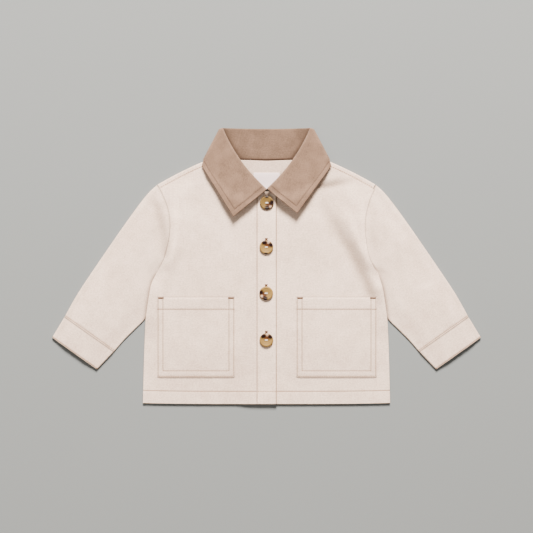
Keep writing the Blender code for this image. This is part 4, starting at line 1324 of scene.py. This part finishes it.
def make_placket():
    """Button band of the right front, over the left front's edge."""
    left, right = PLACKET_EDGE
    foot, top = PLACKET_FOOT, PLACKET_TOP
    sewn, free = left + PLACKET_STITCH[0], right - PLACKET_STITCH[1]

    def marks(x, y):
        # Painted shadow of the collar, painted shade along the stitch lines and painted light over
        # the band
        centre, width = MEETING
        strength, more = MEETING_SHADE
        shade = PLACKET_TOP_SHADE * ramp(y, top - 3, top - 0.5)
        shade += (strength + more * ramp(y, 97.5, 95)) * bell(x - centre, width) * ramp(y, 90, 94)
        strength, reach = EDGE_SHADE
        shade += strength * bell(right - x, reach) * ramp(y, 72, 90)
        lines = np.maximum(mark(x - sewn, y - foot - HEM_DEPTH), FREE_EDGE_MARK * mark(free - x))
        return lines + shade + PLACKET_LIGHT

    piece, plan = flat_piece("placket_band", (left, right, top, foot), placket_height, BAND, CLOTH,
                             marks, 2.6, ((sewn - left, free - left), (HEM_DEPTH,)))
    paths = [straight((x, foot + 1.5), (x, top - 1)) for x in (sewn, free)]
    paths.append(straight((sewn, foot + HEM_DEPTH), (free, foot + HEM_DEPTH)))
    runs = [stitch_run(on_surface(p, placket_height, BAND / 2 - SUNK)) for p in paths]
    stitching = thread_piece("placket_stitching", runs, SEAM_THREAD)
    declare(piece, plan_size(plan), 1, ("placket",))
    return piece


def bar_tack(centre, height, rise):
    """Dense bar of short upright strands, side by side."""
    length, width, _ = TACK
    x, y = centre
    low, high = y - width / 2, y + width / 2
    return [short_stitch((v, low), (v, high), height, rise, width)
            for v in x + np.linspace(-length / 2, length / 2, TACK_STRANDS)]


def make_pocket(name):
    """Patch pocket: hemmed mouth, two rows of stitching round it and a bar tack at each end."""
    box = x0, x1, top, foot = POCKETS[name]
    body = over_height if name == "right" else under_height
    side_line, foot_line = INNER_STITCH
    edge_fold, edge_shade, fold_shade = MOUTH

    def from_lines(x, y):
        """Distances in from the sides, up from the foot, and from the two rows."""
        side, up = np.minimum(x - x0, x1 - x), y - foot
        outer = np.minimum(side, up) - OUTER_STITCH
        return side, up, outer, np.minimum(side - side_line, up - foot_line)

    def height(x, y):
        side, up, outer, inner = from_lines(x, y)
        hem = hem_form(top - y, x, POCKET_HEM, POCKET_FOLD)
        extra, slope = TURNED_IN
        turned = extra * ramp(outer + OUTER_STITCH, side_line + slope, side_line)
        start, across, along = BAG
        bag = POCKET_SWELL * ramp(side, start, across) * ramp(up, start, along)
        depth, width = POCKET_RIM
        rim = depth * ramp(outer + OUTER_STITCH, width, 0)
        rows = groove(outer, x + y) + groove(inner, x + y)
        return body(x, y) + POCKET_LIFT + (rows + hem + turned + bag + rim)

    def marks(x, y):
        # Painted shade along the stitch lines and the mouth's edge, painted highlight along the
        # mouth's fold
        side, _, outer, inner = from_lines(x, y)
        inside = top - y
        lines = np.maximum(mark(outer, inner), POCKET_HEM_MARK * mark(inside - POCKET_HEM))
        crest = bell(inside - edge_fold, 1.2) * (side > side_line + 1)
        return lines + edge_shade * bell(inside, 0.5) + fold_shade * crest

    wide, tall = x1 - x0, top - foot
    lines = ((OUTER_STITCH, side_line, wide - side_line, wide - OUTER_STITCH),
             (OUTER_STITCH, foot_line, tall - POCKET_HEM, tall - edge_fold))
    piece, plan = flat_piece("pocket_patch_" + name, box, height, POCKET_CLOTH, CLOTH, marks,
                             GRID_STEP, lines, POCKET_CORNER)
    face = POCKET_CLOTH / 2 - SUNK
    ends = top - ROW_END
    paths = []
    insets = (OUTER_STITCH, OUTER_STITCH), INNER_STITCH
    for (in_side, in_foot), turn in zip(insets, ROW_TURNS):
        left, right, low = x0 + in_side, x1 - in_side, foot + in_foot
        angle = np.radians(np.linspace(0, 90, 7))
        first = (left + turn, low + turn) - turn * np.column_stack((np.cos(angle), np.sin(angle)))
        last = first[::-1] * (-1, 1) + (left + right, 0)
        paths.append(np.vstack((straight((left, ends), first[0]), first[1:],
                                straight(first[-1], last[0])[1:], last[1:],
                                straight(last[-1], (right, ends))[1:])))
    paths.append(straight((x0 + 1, top - POCKET_HEM), (x1 - 1, top - POCKET_HEM)))
    runs = [stitch_run(on_surface(p, height, face)) for p in paths]
    stitching = thread_piece("pocket_stitching_" + name, runs, SEAM_THREAD)
    length, _, below = TACK
    inset = TACK_INSET + length / 2
    tacks = []
    for x in (x0 + inset, x1 - inset):
        tacks += bar_tack((x, top - below), height, face + 0.05)
    tacking = thread_piece("pocket_tacks_" + name, tacks, TACK_THREAD, THREAD, 0.2)
    declare(piece, plan_size(plan), 1, ("pocket_" + name,))
    return piece


def make_label():
    """Blank woven label inside the back of the neck."""
    left, right, top, _ = LABEL
    start, full, light = LABEL_FOLD
    rise, slope = LABEL_SIDE
    share, place = LABEL_RIB

    def height(x, y):
        side = np.minimum(x - left, right - x)
        relief = rise * ramp(side, 0, slope) - share * groove(side - place, y)
        return back_height(x, y) + LABEL_LEVEL + relief

    def marks(x, y):
        # Painted highlight along the folded top edge
        return light * ramp(y, top - start, top - full)

    piece, plan = flat_piece("label_patch", LABEL, height, LABEL_CLOTH, LABEL_COTTON, marks, 2.0)
    declare(piece, plan_size(plan), 1, ("neck_label",))
    return piece


# ----------------------------------------------------------------- buttons

BUTTON_RADIUS = 9.2
BUTTON_HEIGHT = 2.9
BUTTON_LIFT = 0.25              # from the band up to the button
DISH = 0.73                     # height of the button's dish, as a share of the button's
HOLE_RADIUS = 0.95
HOLE_OFFSET = 1.9
PIN_LENGTH = 12
BUTTON_SIDES = 64
THREAD_BAR = (5, 0.33, 2.1)     # strands over a button, their spacing and half length
BAR_FORM = (0.32, 0.05, 1.6)    # height over the dish, less per strand out, and drop at the ends
SHANK = (4, 0.3, 1.5)           # strands under each hole, their ring's radius and its place
SHANK_ENDS = (-2.6, -0.2)       # below the dish
BUTTONHOLE = (-7.0, 10.6)       # its ends, from the button's centre
LIP = (0.25, 1.75, 0.5)         # start and end of a lip's strands, and their spacing
END_BAR = (7, 0.45, 1.6)        # strands at each end, their spacing and half length
CROSS = ((-0.4, 0.0, 0.4), 1.9, 5.2)   # places of the slanting strands, half width, length
# Name, X, Y, the turn of the horn's patches and how much painted shadow of the collar darkens its
# horn
BUTTONS = (
    ("button_1", 0.4, 84.0, 0, 0.34),
    ("button_2", -0.2, 25.0, 113, 0.0),
    ("button_3", -0.4, -36.4, -103, 0.0),
    ("button_4", -0.2, -98.6, 127, 0.0),
)
# Turned profile from the axis out over the top: radius share, height share
BUTTON_PROFILE = ((0.0, 0.0), (0.5, 0.0), (0.78, 0.06), (0.94, 0.24), (1.0, 0.5), (0.985, 0.72),
                  (0.93, 0.9), (0.86, 0.98), (0.8, 1.0), (0.74, 0.98), (0.69, 0.91), (0.65, 0.87),
                  (0.52, 0.83), (0.46, 0.82), (0.42, 0.76), (0.4, 0.74), (0.2, 0.73), (0.0, 0.73))


def button_base(y):
    """Height of the button's underside over the band."""
    spot = np.array((0.0,)), np.array((y,))
    return float(under_height(*spot)[0]) + PLACKET_STEP + BAND / 2 + BUTTON_LIFT


def make_button(name, x, y, turn, painted_shadow):
    """Turned button with a raised rim, a ringed dish and two drilled holes."""
    profile = spline(BUTTON_PROFILE, np.linspace(0, 1, 44))
    profile[0, 0] = profile[-1, 0] = 0.0
    angle = np.linspace(0, 2 * math.pi, BUTTON_SIDES, endpoint=False)
    radius, rise = profile[:, :1] * BUTTON_RADIUS, profile[:, 1:] * BUTTON_HEIGHT
    points = np.dstack((radius * np.cos(angle), radius * np.sin(angle), rise + 0 * angle))
    quads = cell_corners(point_index(*points.shape[:2], True))
    points = points.reshape(-1, 3)
    across, up = (points[quads] / BUTTON_RADIUS)[..., :2].transpose(2, 0, 1)
    c, s = math.cos(math.radians(turn)), math.sin(math.radians(turn))
    face = np.stack((across * c + up * s, up * c - across * s), -1)
    place = np.array((x, y, button_base(y)))
    # The collar's painted shadow darkens the first button's horn through its shade attribute
    piece = add_mesh(name + "_disc", points + place, quads, HORN, face, "face",
                     np.full(len(points), painted_shadow))
    drill_holes(piece, place)
    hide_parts(name)
    return piece


def drill_holes(piece, place):
    """Cut the two thread holes through a button."""
    bm = bmesh.new()
    for side in (-1, 1):
        pin = bmesh.ops.create_cone(bm, cap_ends=True, segments=20, radius1=HOLE_RADIUS * MM,
                                    radius2=HOLE_RADIUS * MM, depth=PIN_LENGTH * MM)
        spot = (place + (side * HOLE_OFFSET, 0, BUTTON_HEIGHT / 2)) * MM
        bmesh.ops.translate(bm, verts=pin["verts"], vec=spot.tolist())
    pins = bpy.data.meshes.new("pins")
    bm.to_mesh(pins)
    bm.free()
    cutter = in_scene("pins", pins)
    cut = piece.modifiers.new("holes", "BOOLEAN")
    cut.operation = "DIFFERENCE"
    cut.object = cutter
    view = piece.evaluated_get(bpy.context.evaluated_depsgraph_get())
    drilled = bpy.data.meshes.new_from_object(view)
    piece.modifiers.clear()
    piece.data = drilled
    bpy.data.objects.remove(cutter)
    drilled.set_sharp_from_angle(angle=math.radians(40))


def make_button_threads():
    """Cream strands through each button's holes, and the shank of thread under it."""
    bars, spacing, half = THREAD_BAR
    over, less, drop = BAR_FORM
    strands, radius, from_centre = SHANK
    low, high = SHANK_ENDS
    runs, shanks = [], []
    for _, x, y, _, _ in BUTTONS:
        top = button_base(y) + DISH * BUTTON_HEIGHT
        for k in np.arange(bars) - bars // 2:
            bar = straight((x - half, y + k * spacing), (x + half, y + k * spacing), 0.4)
            sag = -drop * np.abs(np.linspace(-1, 1, len(bar))) ** 6
            runs += strand(np.column_stack((bar, top + over - less * abs(k) + sag)))
        for side, k in itertools.product((-1, 1), range(strands)):
            angle = 2 * math.pi * k / strands
            spot = (x + side * from_centre + radius * math.cos(angle), y + radius * math.sin(angle))
            ends = ((*spot, top + low), (*spot, top + high))
            shanks.append(stitch_run(ends, (1, 0, 0), high - low, high - low))
    return thread_piece("button_threads", runs + shanks, BUTTON_THREAD, FINE_THREAD, 0.0)


def strand(path):
    """Short overlapping lengths of thread that follow a curved path."""
    return [stitch_run(path[i:i + 2], UP, 0.6, 0.75) for i in range(len(path) - 1)]


def make_buttonholes():
    """Upright buttonholes: two lips of satin strands, closed by a bar at each end."""
    runs = []

    def sew(start, end, rise, length):
        runs.append(short_stitch(start, end, placket_height, BAND / 2 + rise, length))

    start, end, spacing = LIP
    bars, bar_spacing, half = END_BAR
    offsets, reach, cross_length = CROSS
    for _, x, y, _, _ in BUTTONS[1:]:
        low, high = y + BUTTONHOLE[0], y + BUTTONHOLE[1]
        for side, v in itertools.product((-1, 1), np.arange(low, high, spacing)):
            sew((x + side * start, v), (x + side * end, v), 0.02, end - start)
        for v in (low, high):
            for k in np.arange(bars) - bars // 2:
                level = v + bar_spacing * k
                sew((x - half, level), (x + half, level), 0.1, 2 * half)
            for k, lean in itertools.product(offsets, (-reach, reach)):
                sew((x - reach + k, v - lean), (x + reach + k, v + lean), 0.35, cross_length)
    return thread_piece("buttonhole_stitching", runs, HOLE_THREAD, FINE_THREAD, 0.1)


# ------------------------------------------------------------ light, camera

WARM_LIGHT = (1.0, 0.88, 0.78)
VIEW_WIDTH = 710.7              # width of the frame at the jacket
CAMERA_HEIGHT = 3500.0
CAMERA_Y = -0.7
FLOOR_REACH = 4.0               # in metres, as its level is
FLOOR_LEVEL = -0.0002
FLOOR_COLOURS = ((0.19, 0.215, 0.225, 1), (0.2, 0.225, 0.235, 1))
# Place and width in metres, power in watts
KEY_LIGHT = ((0.15, 2.95, 2.15), 1.15, 770.0)
FILL_LIGHT = ((-1.3, -0.9, 1.8), 2.0, 16.0)
ROOM_LIGHT = 0.28


def make_floor():
    """Plain pale surface that the jacket lies on."""
    mesh = bpy.data.meshes.new("floor")
    corners = np.array(((-1, -1), (1, -1), (1, 1), (-1, 1))) * FLOOR_REACH
    mesh.from_pydata([(x, y, FLOOR_LEVEL) for x, y in corners], [], [(0, 1, 2, 3)])
    material, tree, shader = new_material("floor", 0.9)
    shade = mix(tree, noise(tree, own_place(tree), 3.0), *FLOOR_COLOURS)
    tree.links.new(shade, shader.inputs["Base Color"])
    mesh.materials.append(material)
    in_scene("floor", mesh)


def make_light(name, place, size, power):
    """Soft square light that faces the jacket."""
    lamp = bpy.data.lights.new(name, "AREA")
    lamp.size = size
    lamp.energy = power
    lamp.color = WARM_LIGHT
    light = in_scene(name, lamp)
    light.location = x, y, z = place
    light.rotation_euler = (math.atan2(math.hypot(x, y), z), 0, math.atan2(x, -y))


def make_camera():
    """Camera straight above the jacket, with a long lens."""
    lens = bpy.data.cameras.new("camera")
    lens.sensor_width = 36.0
    lens.lens = lens.sensor_width * CAMERA_HEIGHT / VIEW_WIDTH
    lens.clip_end = 20.0
    camera = in_scene("camera", lens)
    camera.location = (0.0, CAMERA_Y * MM, CAMERA_HEIGHT * MM)
    bpy.context.scene.camera = camera


def make_studio():
    make_floor()
    make_camera()
    make_light("key", *KEY_LIGHT)
    make_light("fill", *FILL_LIGHT)
    world = bpy.data.worlds.new("studio")
    world.use_nodes = True
    background = world.node_tree.nodes["Background"]
    background.inputs["Color"].default_value = (*WARM_LIGHT, 1)
    background.inputs["Strength"].default_value = ROOM_LIGHT
    bpy.context.scene.world = world


# -------------------------------------------------------------------- main

def main():
    make_studio()
    canvas_pieces = [
        make_back(),
        make_front("right", -1, over_height),
        make_front("left", 1, under_height),
        make_placket(),
    ]
    for name, side in SIDES:
        canvas_pieces += [make_sleeve(name, side), make_cuff(name, side), make_pocket(name)]
    make_collar()
    make_label()
    for row in BUTTONS:
        make_button(*row)
    make_button_threads()
    make_buttonholes()


main()
